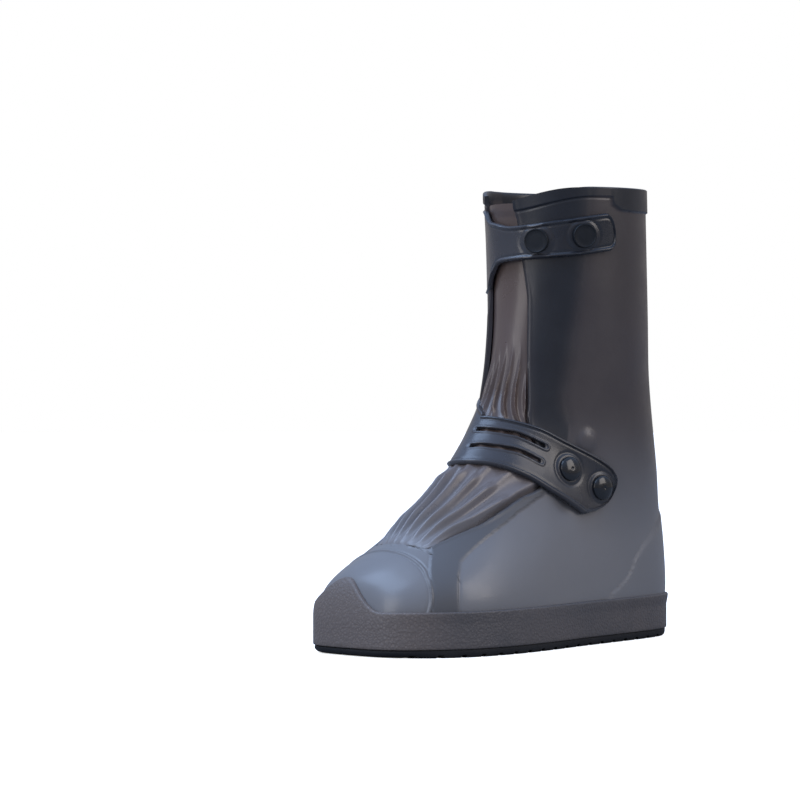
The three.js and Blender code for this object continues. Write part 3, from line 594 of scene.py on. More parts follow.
class ShoeCoverSizes(bpy.types.PropertyGroup):
    """Sizes of the shoe cover."""

    foot_length: length("Foot length", "From the heel to the toe tip of the mould", 0.2585)
    ball_width: length("Ball width", "Width that the sections are shares of", 0.0985)
    collar_height: length("Collar height", "Top of the collar over the floor", 0.28)
    collar_dip: length("Collar dip", "How much lower the collar is at the front", 0.009)
    collar_band: length("Collar band", "Height of the thicker band under the collar's edge", 0.006)
    outsole_thickness: length("Outsole thickness", "From the floor to the outsole's top", 0.0047)
    gap: length("Gap", "Room between neighbouring pieces", 0.0003)
    wall: length("Wall", "Thickness of the upper", 0.002)
    raised: length("Relief", "Height of bands and lips", 0.0008)
    gusset_thickness: length("Gusset thickness", "Thickness of the folded gusset", 0.0012)
    fold_height: length("Fold height", "Height of the gusset's folds", 0.0044)
    strap_thickness: length("Strap thickness", "Thickness of both straps", 0.002)
    strap_seat: length("Strap seat", "Room under a strap", 0.0005)
    top_strap_width: length("Top strap width", "Width of the collar strap", 0.024)
    instep_strap_width: length("Instep strap width", "Width of the strap over the instep", 0.035)
    slot_width: length("Slot width", "Width of the slots through the instep strap", 0.003)
    rand_thickness: length("Rand thickness", "Thickness of the band round the foot", 0.0025)
    rand_height: length("Rand height", "Top of the rand over the floor", 0.027)
    bumper_height: length("Bumper height", "Top of the toe bumper over the floor", 0.046)
    bumper_width: length("Bumper width", "Width of the toe bumper at its foot", 0.066)
    groove_depth: length("Groove depth", "Depth of the tread's grooves", 0.0018)
    groove_width: length("Groove width", "Width of the tread's grooves", 0.003)
    groove_pitch: length("Groove pitch", "From one groove of the tread to the next", 0.013)
    cap_radius: length("Cap radius", "Radius of the snap caps", 0.0075)
    cap_height: length("Cap height", "Height of the snap caps", 0.0032)
    stud_radius: length("Stud radius", "Radius of the studs behind the outer quarter", 0.005)


class ShoeCoverColours(bpy.types.PropertyGroup):
    """Colours of the shoe cover and its floor."""

    shell: colour("Shell", "Single layer of the smoky plastic", (0.062, 0.05, 0.05, 1))
    shell_deep: colour("Doubled shell", "Smoky plastic where it is doubled", (0.011, 0.013, 0.019, 1))
    # Painted light: the paler colour that the plastic takes low on the foot.
    shell_floor_lit: colour("Foot", "Smoky plastic low on the foot", (0.19, 0.188, 0.195, 1))
    gusset: colour("Gusset", "Thin folded plastic of the gusset", (0.125, 0.088, 0.075, 1))
    # Painted light: the paler colour that the gusset takes low on the foot.
    gusset_floor_lit: colour("Gusset foot", "Thin folded plastic low on the foot", (0.21, 0.2, 0.205, 1))
    strap: colour("Strap", "Plastic of the straps", (0.06, 0.06, 0.068, 1))
    rand: colour("Rand", "Grained plastic of the rand", (0.075, 0.07, 0.073, 1))
    # A paler brown that the rand takes towards the toe front.
    rand_pale: colour("Worn rand", "Grained plastic at the toe", (0.17, 0.138, 0.122, 1))
    outsole: colour("Outsole", "Rubber of the outsole", (0.009, 0.01, 0.013, 1))
    snap: colour("Snap", "Plastic of the snap caps", (0.006, 0.008, 0.011, 1))
    floor: colour("Floor", "Studio floor", (0.93, 0.93, 0.93, 1))


def sizes():
    return bpy.context.scene.shoe_cover_sizes


def colours():
    return bpy.context.scene.shoe_cover_colours


def material(name, make):
    """A named material, made once."""
    return bpy.data.materials.get(name) or make(name)


def shell_material():
    c = colours()
    return material("shell_plastic", lambda name: translucent_plastic(
        name, tuple(c.shell), tuple(c.shell_deep), tuple(c.shell_floor_lit), 0.12, 0.36))


# Upper

def row_numbers():
    """Section numbers of the upper's rows, closer where the relief is fine."""
    tip = np.array([0, 0.03, 0.07, 0.12, 0.18, 0.25, 0.33, 0.42, 0.51, 0.6, 0.7, 0.8])
    toe = np.linspace(0.88, 2.6, 36)
    cap = np.linspace(2.63, ARCH_FOOT - 0.02, 64)
    turn = np.radians(np.linspace(0, 90, 17))
    arch = ARCH_TOP - (ARCH_TOP - ARCH_FOOT) * np.cos(turn)
    foot = np.linspace(ARCH_TOP + 0.06, 9.3, 76)
    shaft = np.linspace(9.38, 14.2, 52)
    before = np.concatenate([tip, toe, cap])
    return before, np.concatenate([arch, foot, shaft])


def column_angles(mould, numbers, columns):
    """Degrees of every column of each row, from the outer edge round the back to the inner edge."""
    fine = np.linspace(0, 1, 1201)
    edges = mould.edges(numbers)
    start, end = edges[:, :1], edges[:, 1:] - 360
    a = start + (end - start) * fine
    points = mould.point(numbers[:, None], a)
    steps = np.linalg.norm(np.diff(points, axis=1), axis=2)
    middle = np.abs((a[:, 1:] + a[:, :-1]) / 2)
    back_weight = mix(0.25, 0.75, smooth(numbers, 8, 11))[:, None]
    steps *= back_weight + (1 - back_weight) * smooth(middle, 12, 55)
    travelled = np.concatenate([np.zeros((len(numbers), 1)), np.cumsum(steps, axis=1)], axis=1)
    wanted = np.linspace(0, 1, columns)
    return np.array([np.interp(wanted * way[-1], way, angles) for way, angles in zip(travelled, a)])


def mirrored(line):
    line = np.array(line, float)
    line[:, 1] *= -1
    return line


def shaft_line(mould, rows):
    """A line given by degrees and height, as section numbers and degrees."""
    line = dense(rows, 120)
    return np.column_stack([mould.at_share(line[:, 0], line[:, 1]), line[:, 0]])


def doubled_outline(mould, side):
    """Outline of the doubled layer beside the opening, on the outer or the inner side."""
    foot = dense(BAND_BACK, 90)
    shaft = shaft_line(mould, SHAFT_SEAM)
    numbers = np.linspace(LAST, ARCH_TOP, 160)
    edges = mould.edges(numbers)
    outer = side > 0
    edge = np.column_stack([numbers, edges[:, 0] if outer else 360 - edges[:, 1]])
    front = dense(BAND_FRONT, 80)[::-1]
    line = np.vstack([foot, shaft, edge, front])
    return line if outer else mirrored(line)


class Relief:
    """Raised and sunk shapes on the upper, collected as one lift in metres."""

    def __init__(self, mould, t, a):
        self.mould = mould
        self.t = t
        self.a = a
        self.points = mould.point(t, a)
        self.lift = np.zeros(t.shape)

    def line_away(self, line):
        return nearest(self.points, self.mould.point(line[:, 0], line[:, 1]))

    def region(self, outline):
        """Signed distance to a closed outline, positive inside."""
        away = self.line_away(outline)
        return np.where(within(self.t, self.a, outline), away, -away)

    def step(self, inside, rise, soft=0.5 * MM, line=0.0):
        """Raises a region, with a fine groove along its outside."""
        self.lift += rise * smooth(inside, -soft, soft)
        self.lift -= line * np.exp(-((inside + soft * 1.8) / (0.55 * MM)) ** 2)

    def ridge(self, away, rise, half):
        self.lift += rise * (1 - smooth(away, half * 0.35, half))

    def dent(self, number, around, depth, radius):
        away = np.linalg.norm(self.points - self.mould.point(number, around), axis=-1)
        self.lift -= depth * np.exp(-(away / radius) ** 2)


def upper_relief(mould, t, a, s):
    relief = Relief(mould, t, a)
    raised = s.raised
    doubled = np.zeros(t.shape)
    for side in (1, -1):
        inside = relief.region(doubled_outline(mould, side))
        shaft = smooth(t, 7.6, 9.6)
        rise = raised * mix(0.75, 0.3, shaft)
        relief.step(inside, rise, mix(0.6, 1.6, shaft) * MM, mix(0.22, 0.0, shaft) * MM)
        half = mix(1.5, 8.0, shaft) * MM
        doubled = np.maximum(doubled, smooth(inside / half, -1, 1))
    cap = dense(TOE_CAP, 160)
    cap = np.vstack([cap, mirrored(cap)[::-1]])
    away = relief.line_away(cap)
    relief.ridge(away, raised * 0.8, 1.1 * MM)
    relief.lift -= 0.3 * MM * np.exp(-((away - 1.7 * MM) / (0.5 * MM)) ** 2)
    counter = dense(COUNTER, 120)
    counter = np.column_stack([mould.at_share(counter[:, 0], counter[:, 1]), counter[:, 0]])
    inside = relief.region(np.vstack([counter, mirrored(counter)[::-1]]))
    relief.step(inside, raised, 0.5 * MM, 0.25 * MM)
    height = relief.points[..., 2]
    rim = mould.rim(a)
    under_rim = height - (rim - s.collar_band)
    band = smooth(under_rim, -0.3 * MM, 0.5 * MM)
    tab = dense(BACK_TAB, 120)
    tab = np.column_stack([mould.number(mould.collar - tab[:, 1] * MM, tab[:, 0]), tab[:, 0]])
    on_tab = relief.region(np.vstack([tab, mirrored(tab)[::-1]]))
    on_tab = smooth(on_tab, -0.8 * MM, 0.8 * MM)
    relief.lift += np.maximum(raised * band, 1.1 * MM * on_tab)
    relief.lift -= 0.3 * MM * np.exp(-((under_rim + 0.9 * MM) / (0.5 * MM)) ** 2) * (1 - on_tab)
    numbers = np.linspace(ARCH_FOOT, LAST, 420)
    edges = mould.edges(numbers)
    outer_away = relief.line_away(np.column_stack([numbers, edges[:, 0]]))
    inner_away = relief.line_away(np.column_stack([numbers, edges[:, 1] - 360]))
    relief.lift += 0.35 * MM * (1 - smooth(np.abs(outer_away - 1.2 * MM), 0.4 * MM, 1.1 * MM))
    lip = smooth(t, 4.4, 5.2) * (1 - smooth(t, 13.1, 13.5))
    relief.lift += raised * lip * (1 - smooth(inner_away, 2.8 * MM, 3.6 * MM))
    edge_away = np.minimum(outer_away, inner_away)
    relief.lift -= 0.55 * MM * (1 - smooth(edge_away, 0, 0.9 * MM))
    for number, around, depth, radius in DENTS:
        relief.dent(number, around, depth * MM, radius * MM)
    dome = mould.point(mould.at_share(DOME[0], DOME[1]), DOME[0])
    away = np.linalg.norm(relief.points - dome, axis=-1)
    crown = np.sqrt(np.clip(1 - (away / DOME_RADIUS) ** 2, 0, 1))
    relief.lift += DOME_HEIGHT * crown * (1 - smooth(away, DOME_SHOULDER, DOME_RADIUS))
    dark = np.clip(doubled + 0.75 * band + on_tab, 0, 1)
    return relief.lift, dark


# Shape of the collar's rounded edge: millimetres down from the top, and millimetres in from the face.
RIM_ROUND = ((0.9, 0), (0.35, 0.15), (0.08, 0.5), (0, 1.1), (0, 1.9), (0.1, 2.4), (0.4, 2.7))


def add_upper():
    """The hollow boot: outer face, rounded rim and lining as one closed body, with the front left open."""
    s = sizes()
    mould = Mould(s)
    columns = 224
    before, after = row_numbers()
    numbers = np.concatenate([before, after])
    angles = column_angles(mould, numbers, columns)
    t = np.repeat(numbers[:, None], columns, axis=1)
    shaft_rows = 46
    band_rows = 44
    shaft_top = mould.number(mould.rim(angles[-1]) - s.collar_band - 0.012, angles[-1])
    top = mould.number(mould.rim(angles[-1]) - RIM_ROUND[0][0] * MM, angles[-1])
    way = np.linspace(0, 1, shaft_rows + 1)[1:, None]
    rest = mix(t[-1], shaft_top, way)
    way = np.linspace(0, 1, band_rows + 1)[1:, None]
    rest = np.vstack([rest, mix(shaft_top, top, way)])
    t = np.vstack([t, rest])
    last = column_angles(mould, np.linspace(t[len(numbers) - 1].mean(), LAST, 2), columns)[1]
    turned = smooth(np.arange(1, len(rest) + 1)[:, None] / len(rest), 0, 1)
    a = np.vstack([angles, mix(angles[-1], last, turned)])
    keep_edges = mould.edges(t[len(numbers):, [0, -1]])
    a[len(numbers):, 0] = keep_edges[:, 0, 0]
    a[len(numbers):, -1] = keep_edges[:, 1, 1] - 360
    lift, dark = upper_relief(mould, t, a, s)
    outer = mould.skin(t, a, lift)
    rim_rows = []
    for down, inward in RIM_ROUND[1:]:
        number = mould.number(mould.rim(a[-1]) - down * MM, a[-1])
        rim_rows.append(mould.skin(number, a[-1], lift[-1] - inward * MM))
    outer = np.vstack([outer, rim_rows])
    dark = np.vstack([dark, np.repeat(dark[-1:], len(rim_rows), axis=0)])
    arch = len(before)
    skip = 4
    low = [0] + list(range(arch % skip + 3 * skip, arch, skip))
    picked = low + list(range(arch, len(t) - skip, skip)) + [len(t) - 2]
    inner = mould.skin(t[picked], a[picked], -s.wall)
    bm = bmesh.new()
    bm.verts.layers.float.new("doubled")
    face = lay_grid(bm, outer)
    lining = lay_grid(bm, inner)
    weigh(bm, "doubled", face, dark)
    weigh(bm, "doubled", lining, dark[picked])
    bmesh.ops.bridge_loops(bm, edges=edges_along(face[-1]) + edges_along(lining[-1]))
    for column in (0, -1):
        for k in range(picked.index(arch), len(picked) - 1):
            strip = [face[row][column] for row in range(picked[k], picked[k + 1] + 1)]
            bm.faces.new(strip + [lining[k + 1][column], lining[k][column]])
        strip = [face[row][column] for row in range(picked[-1], len(face))]
        bm.faces.new(strip + [lining[-1][column]])
    return as_piece(bm, "upper_shell", shell_material(), ["upper"], sharp=60)


# Gusset

def gusset_lift(s, number, a, outer, inner):
    """Lift of the gusset's face: ribs over the foot, sharper folds over the instep strap, and a flat top."""
    window = (a - outer) / (inner - outer)
    inside = smooth(window, 0.0, 0.035) * (1 - smooth(window, 0.965, 1.0))
    flush = smooth(number, 3.95, 4.3) * (1 - smooth(number, 8.6, 10.6))
    base = mix(-s.wall - 0.9 * MM, -0.5 * MM, flush)
    first = mix(0.09, 0.035, smooth(number, 4.3, 7.4)) + 0.006 * np.sin(number * 2.3)
    crest = 0.5 + 0.5 * np.cos((window - first) / 0.125 * 2 * math.pi)
    foot = smooth(number, 4.05, 5.4) * (1 - 0.65 * smooth(number, 6.6, 7.1)) * (1 - smooth(number, 9.2, 9.7))
    ends = smooth(window, -0.02, 0.05) * (1 - smooth(window, 0.93, 1.0))
    ribs = s.fold_height * foot * ends * crest ** 1.5
    creases = 0.5 + 0.5 * np.cos((window + 0.03 * np.sin(number * 2.2)) / 0.145 * 2 * math.pi)
    above = smooth(number, 9.3, 9.8) * (1 - smooth(number, 10.3, 12.4))
    folds = 0.75 * s.fold_height * above * ends * (1 - np.sqrt(1 - creases ** 2 * 0.98))
    bow = 1.1 * MM * np.sin(np.clip(window, 0, 1) * math.pi) * smooth(number, 10.5, 12.5)
    return -s.wall - 0.9 * MM + inside * (base + s.wall + 0.9 * MM + ribs + folds + bow)


def add_gusset():
    """The thin folded gusset behind the front opening."""
    s = sizes()
    mould = Mould(s)
    first = 3.8
    top = float(mould.number(s.collar_height - s.collar_dip - MM, 186))
    numbers = np.linspace(first, top, 210)
    per_degree = np.linalg.norm(mould.point(numbers, 181) - mould.point(numbers, 180), axis=-1)
    tuck = 4.5 * MM / per_degree
    across = np.linspace(0, 1, 190)
    open_edges = curve(((3.8, 168, 192),) + OPENING, numbers)
    start = (open_edges[:, 0] - tuck)[:, None]
    end = (open_edges[:, 1] + tuck)[:, None]
    a = mix(start, end, across)
    t = np.repeat(numbers[:, None], len(across), axis=1)
    lift = gusset_lift(s, t, a, open_edges[:, :1], open_edges[:, 1:])
    points = mould.point(t, a)
    under_top = s.collar_height - s.collar_dip - MM - points[..., 2]
    lift += 0.8 * MM * (1 - smooth(under_top, 5.2 * MM, 5.9 * MM))
    lift -= 0.3 * MM * np.exp(-((under_top - 6.6 * MM) / (0.5 * MM)) ** 2)
    bm = bmesh.new()
    bm.verts.layers.float.new("doubled")
    face = lay_grid(bm, mould.skin(t, a, lift))
    back = lay_grid(bm, mould.skin(t, a, lift - s.gusset_thickness))
    zero = np.zeros(t.shape)
    weigh(bm, "doubled", face, zero)
    weigh(bm, "doubled", back, zero)
    for front_chain, back_chain in (
        (face[0], back[0]),
        (face[-1], back[-1]),
        ([row[0] for row in face], [row[0] for row in back]),
        ([row[-1] for row in face], [row[-1] for row in back]),
    ):
        bmesh.ops.bridge_loops(bm, edges=edges_along(front_chain) + edges_along(back_chain))
    c = colours()
    thin = material("gusset_plastic", lambda name: translucent_plastic(
        name, tuple(c.gusset), tuple(c.shell_deep), tuple(c.gusset_floor_lit), 0.1, 0.3))
    return as_piece(bm, "gusset_folds", thin, ["tongue_gusset"])


# Straps

def strap_steps(ribbon, count, rounded):
    """Shares along a ribbon, closer together at its round end."""
    end = float(ribbon.half(1.0)) / ribbon.length
    turn = np.radians(np.linspace(0, 90, rounded + 1)[1:])
    return np.concatenate([np.linspace(0, 1 - end, count), 1 - end + end * np.sin(turn)])


def strap_points(ribbon, base, thickness, top_extra, count, columns):
    """Rings of points round a strap: its face with relief, its rounded edge and its flat back."""
    s = strap_steps(ribbon, count, 22)
    half = ribbon.half(s)
    end_half = float(ribbon.half(1.0))
    to_end = (1 - s) * ribbon.length
    short = np.clip(end_half - to_end, 0, end_half)
    reach = np.where(short > 0, np.sqrt(np.maximum(end_half ** 2 - short ** 2, 0)), half)
    w = np.linspace(-1, 1, columns)
    side = reach[:, None] * w
    share = np.repeat(s[:, None], columns, axis=1)
    number, a = ribbon.spot(share, side)
    round_in = end_half - np.hypot(short[:, None], side)
    inside = np.where(short[:, None] > 0, round_in, half[:, None] - np.abs(side))
    low = base(share)
    points = ribbon.mould.point(number, a)
    face = low + thickness + top_extra(inside, points)
    rings = [ribbon.mould.skin(number, a, face)]
    edge_low, edge_face = low[:, -1:], face[:, -1:]
    for way in (0.35, 0.75):
        rings.append(ribbon.mould.skin(number[:, -1:], a[:, -1:], mix(edge_face, edge_low, way)))
    rings.append(ribbon.mould.skin(number, a, low)[:, ::-1])
    edge_low, edge_face = low[:, :1], face[:, :1]
    for way in (0.75, 0.35):
        rings.append(ribbon.mould.skin(number[:, :1], a[:, :1], mix(edge_face, edge_low, way)))
    rings.append(rings[0][:, :1])
    return np.concatenate(rings, axis=1)


def border(inside, lip):
    """Raised lip along an edge, with its own round and a fine groove inside it."""
    rounded = -0.7 * MM * (1 - smooth(inside, 0, 0.8 * MM))
    raised = lip * smooth(inside, 0.1 * MM, 0.8 * MM) * (1 - smooth(inside, 1.7 * MM, 2.5 * MM))
    groove = -0.3 * MM * np.exp(-((inside - 3.0 * MM) / (0.55 * MM)) ** 2)
    return rounded + raised + groove


def snap_bosses(centres, points, radius, rise):
    """Raised rings round the snaps."""
    total = np.zeros(points.shape[:-1])
    for centre in centres:
        away = np.linalg.norm(points - centre, axis=-1)
        total += rise * (1 - smooth(away, radius, radius + 1.3 * MM))
        total -= 0.35 * MM * np.exp(-((away - radius - 2.0 * MM) / (0.8 * MM)) ** 2)
    return total


def strap_material():
    c = colours()
    # The 0.9 paints shade on the strap's outer side.
    return material("strap_plastic", lambda name: translucent_plastic(
        name, tuple(c.strap), tuple(c.shell_deep), tuple(c.strap), 0.05, 0.27, 0.9))


def add_top_strap():
    """The collar strap, one with the inner quarter at its root, with its round end on the outer quarter."""
    s = sizes()
    mould = Mould(s)
    ribbon = Ribbon(mould, TOP_STRAP, s.top_strap_width)
    centres = [ribbon.centre(np.array([share]))[0] for share in TOP_SNAPS]

    under = s.strap_seat + s.raised

    def base(share):
        return mix(-s.strap_thickness + 0.5 * MM, under, smooth(share, 0.12, 0.55))

    def relief(inside, points):
        return border(inside, s.raised) + snap_bosses(centres, points, 8.3 * MM, 0.3 * MM)

    points = strap_points(ribbon, base, s.strap_thickness, relief, 210, 47)
    bm = bmesh.new()
    closed_band(bm, points)
    return as_piece(bm, "top_strap_band", strap_material(), ["top_strap"])


def add_instep_strap():
    """The strap over the instep, one with the inner quarter at its root, with two slots through it."""
    s = sizes()
    mould = Mould(s)
    ribbon = Ribbon(mould, INSTEP_STRAP, s.instep_strap_width)
    slots = [Ribbon(mould, rows, s.slot_width) for rows in SLOTS]
    slot_lines = [slot.centre(np.linspace(0, 1, 160)) for slot in slots]
    centres = [ribbon.centre(np.array([share]))[0] for share in INSTEP_SNAPS]
    under = s.strap_seat + s.raised

    def base(share):
        return mix(-s.strap_thickness + 0.5 * MM, under, smooth(share, 0.08, 0.5))

    def relief(inside, points):
        total = border(inside, s.raised)
        for line in slot_lines:
            away = nearest(points, line) - s.slot_width / 2
            total += 0.4 * MM * (1 - smooth(np.abs(away - 0.7 * MM), 0.3 * MM, 0.9 * MM))
        return total + snap_bosses(centres, points, 8.4 * MM, 0.45 * MM)

    points = strap_points(ribbon, base, s.strap_thickness, relief, 250, 61)
    bm = bmesh.new()
    closed_band(bm, points)
    piece = as_piece(bm, "instep_strap_band", strap_material(), ["instep_strap"])
    for slot in slots:
        cutter = bmesh.new()
        closed_band(cutter, slot_cutter(slot, under, s))
        cut(piece, cutter)
    return piece


def slot_cutter(slot, under, s):
    """Rings of a slot's cutter, round at both ends."""
    end = slot.width / 2 / slot.length
    turn = np.radians(np.linspace(0, 90, 9)[1:])
    start = end * (1 - np.sin(turn[::-1]))
    shares = np.concatenate([[0.0], start[1:], np.linspace(end, 1 - end, 60), 1 - end + end * np.sin(turn)])
    to_end = np.minimum(shares, 1 - shares) * slot.length
    short = np.clip(slot.width / 2 - to_end, 0, slot.width / 2)
    reach = np.sqrt((slot.width / 2) ** 2 - short ** 2)
    w = np.array([-1, 1, 1, -1, -1])
    number, a = slot.spot(np.repeat(shares[:, None], 5, axis=1), reach[:, None] * w)
    lift = np.array([1, 1, 0, 0, 1]) * s.strap_thickness * 4.5 + under - s.strap_thickness * 1.5
    return slot.mould.skin(number, a, np.broadcast_to(lift, a.shape))


# Rand and outsole

class Rings:
    """Level outlines of the foot in the same columns, from the toe round the outer side."""

    def __init__(self, mould, count, top):
        self.root = mould.sole + SECTIONS[0][1] * mould.height
        self.pitch = 1.75 * MM
        widest = self.outline(mould, self.root)
        travelled = np.concatenate([[0], np.cumsum(np.linalg.norm(np.diff(widest, axis=0), axis=1))])
        share = np.arange(count) / count
        at = (share - 0.5 * np.sin(4 * math.pi * share) / (4 * math.pi)) * travelled[-1]
        root = np.column_stack([np.interp(at, travelled, widest[:, k]) for k in range(2)])
        middle = np.clip(root[:, 1], MOULD_AT[1] - mould.length * 0.8, MOULD_AT[1] - mould.length * 0.16)
        self.start = np.column_stack([np.full(count, MOULD_AT[0]), middle])
        self.along = unit(root - self.start)
        heights = np.arange(self.root, top + 2 * self.pitch, self.pitch)
        rings = [self.ring(self.outline(mould, height)) for height in heights]
        self.points = np.array([points for points, _ in rings])
        self.out = np.array([out for _, out in rings])

    def outline(self, mould, height):
        """The mould's closed outline at a height."""
        numbers = np.concatenate([np.arange(0.002, 0.4, 0.002), np.arange(0.4, 12, 0.015)])
        section = mould.section(numbers)
        low_fore, low_up, high_fore, high_up, outer, inner, shift, widest, low_round, high_round = section
        way = ((height - mould.sole) / mould.height - low_up) / (high_up - low_up)
        crossed = (way >= 0) & (way <= 1)
        low = way < widest
        away = np.where(low, 1 - way / widest, (way - widest) / (1 - widest))
        power = np.where(low, low_round, high_round)
        wide = (1 - np.clip(away, 0, 1) ** power) ** (1 / power)
        y = -mix(low_fore, high_fore, way) * mould.length + MOULD_AT[1]
        sides = [np.column_stack([(shift + half * wide) * mould.width + MOULD_AT[0], y])[crossed]
                 for half in (outer, -inner)]
        return np.vstack([sides[0], sides[1][::-1], sides[0][:1]])

    def ring(self, outline):
        """Where each column's line crosses an outline, and the outward directions there."""
        away = outline[None] - self.start[:, None]
        side = self.along[:, :1] * away[..., 1] - self.along[:, 1:] * away[..., 0]
        reach = (away * self.along[:, None]).sum(-1)
        change = side[:, 1:] - side[:, :-1]
        share = -side[:, :-1] / np.where(change == 0, 1, change)
        crossed = (share >= 0) & (share <= 1) & (change != 0)
        found = np.where(crossed, mix(reach[:, :-1], reach[:, 1:], share), 0).max(1)
        ring = self.start + self.along * found[:, None]
        for _ in range(2):
            ring = (np.roll(ring, 1, axis=0) + 2 * ring + np.roll(ring, -1, axis=0)) / 4
        ahead = np.roll(ring, -2, axis=0) - np.roll(ring, 2, axis=0)
        return ring, unit(np.column_stack([ahead[:, 1], -ahead[:, 0]]))

    def at(self, height, grow):
        """Points of every column at its own height, grown outwards."""
        columns = np.arange(self.points.shape[1])
        along = np.clip((height - self.root) / self.pitch, 0, len(self.points) - 1.001)
        k = np.floor(along).astype(int)
        f = (along - k)[:, None]
        out = unit(mix(self.out[k, columns], self.out[k + 1, columns], f))
        point = mix(self.points[k, columns], self.points[k + 1, columns], f)
        point += out * np.broadcast_to(grow, columns.shape)[:, None]
        return np.column_stack([point, height])


def rand_top(rings, s):
    """Height of the rand's top edge, raised over the toe as a bumper."""
    root = rings.points[0]
    away = np.linalg.norm(root - root[0] + (s.bumper_width * 0.045, 0), axis=1)
    bump = 1 - smooth(away, s.bumper_width * 0.015, s.bumper_width / 2)
    return mix(s.rand_height, s.bumper_height, bump)


def add_rand():
    """The grained band round the foot, with the toe bumper."""
    s = sizes()
    rings = Rings(Mould(s), 360, s.bumper_height)
    top = rand_top(rings, s)
    bottom = s.outsole_thickness + s.gap
    out = s.gap + s.rand_thickness
    rows = [(bottom, out - 0.7 * MM), (bottom + 0.25 * MM, out - 0.2 * MM), (bottom + 0.8 * MM, out)]
    rows += [(mix(bottom + 0.8 * MM, top - 1.3 * MM, way), out) for way in np.linspace(0, 1, 15)[1:]]
    rows += [(top - 0.6 * MM, out - 0.1 * MM), (top - 0.15 * MM, out - 0.5 * MM), (top, out - 1.1 * MM)]
    rows += [(top, s.gap), (mix(top, bottom, 0.5), s.gap), (bottom, s.gap)]
    loops = [rings.at(np.broadcast_to(height, top.shape), grow) for height, grow in rows]
    loops.append(loops[0])
    points = np.array(loops)
    points = np.concatenate([points, points[:, :1]], axis=1)
    bm = bmesh.new()
    lay_grid(bm, points)
    c = colours()
    grained = material("grained_rand", lambda name: leather_grain(name, tuple(c.rand), tuple(c.rand_pale), 0.5))
    return as_piece(bm, "foxing_rand", grained, ["rand"])


def add_outsole():
    """The outsole, with grooves across its tread."""
    s = sizes()
    rings = Rings(Mould(s), 360, s.rand_height)
    edge = s.gap + s.rand_thickness - 0.98 * MM
    root = rings.points[0]
    spring = 1 + 3.2 * (1 - smooth(root[:, 1] - root[:, 1].min(), 4 * MM, 26 * MM))
    spring += 1.4 * smooth(root[:, 1] - root[:, 1].max(), -16 * MM, -3 * MM)
    profile = ((0, -1.5), (0.4, -0.85), (1.0, -0.42), (1.9, -0.14), (3.0, 0), (4.2, 0), (4.7, -0.4 / 4.2))
    loops = [rings.at(np.full(len(root), up * MM), edge + out * spring * MM) for up, out in profile]
    points = np.array(loops)
    points = np.concatenate([points, points[:, :1]], axis=1)
    bm = bmesh.new()
    closed_band(bm, points)
    c = colours()
    black = material("outsole_rubber", lambda name: rubber(name, tuple(c.outsole), 0.62))
    piece = as_piece(bm, "tread_outsole", black, ["outsole"])
    start, end = root[:, 1].min(), root[:, 1].max()
    count = round((end - start) / s.groove_pitch)
    cutter = bmesh.new()
    for i in range(1, count):
        place = Matrix.Translation((0, start + i * (end - start) / count, 0))
        size = Matrix.Diagonal((s.ball_width * 2, s.groove_width, s.groove_depth * 2, 1))
        bmesh.ops.create_cube(cutter, size=1, matrix=place @ size)
    cut(piece, cutter)
    return piece


# Snaps

def spun(profile, place, steps=56):
    """A closed turned solid from a profile of radius and height, placed on the mould."""
    bm = bmesh.new()
    verts = [bm.verts.new((radius, 0, height)) for radius, height in profile]
    edges = [bm.edges.new(pair) for pair in zip(verts, verts[1:])]
    bmesh.ops.spin(
        bm, geom=verts + edges, axis=(0, 0, 1), cent=(0, 0, 0), angle=2 * math.pi, steps=steps, use_merge=True)
    bmesh.ops.remove_doubles(bm, verts=bm.verts, dist=2e-6)
    bmesh.ops.transform(bm, matrix=place, verts=bm.verts)
    return bm


def snap_place(mould, ribbon, share):
    number, a = ribbon.spot(np.array([share]), np.array([0.0]))
    point = Vector(mould.point(number, a)[0])
    normal = Vector(mould.outward(number, a)[0])
    return Matrix.Translation(point) @ normal.to_track_quat("Z", "Y").to_matrix().to_4x4()


def flat_cap(radius, base, height):
    """A flat disc with a raised rim and a faint dish."""
    return [
        (radius * 0.97, base), (radius, base + 0.2 * MM), (radius, base + height * 0.55),
        (radius * 0.985, base + height * 0.72), (radius * 0.95, base + height * 0.8),
        (radius * 0.9, base + height * 0.8), (radius * 0.87, base + height * 0.7),
        (radius * 0.83, base + height * 0.66), (radius * 0.5, base + height * 0.7), (0, base + height * 0.72),
    ]


def domed_cap(radius, base, height):
    """A glossy dome with a small dimple in its middle."""
    rows = [(radius * 0.97, base), (radius, base + 0.25 * MM), (radius, base + height * 0.3)]
    for turn in np.radians(np.linspace(8, 84, 12)):
        rows.append((radius * math.cos(turn), base + height * (0.3 + 0.7 * math.sin(turn))))
    return rows + [
        (radius * 0.095, base + height * 0.985), (radius * 0.07, base + height * 0.87),
        (0, base + height * 0.82),
    ]


def stand_off(radius, s):
    """How far a disc's edge stands off the round shaft that its middle rests on."""
    return radius ** 2 / s.ball_width


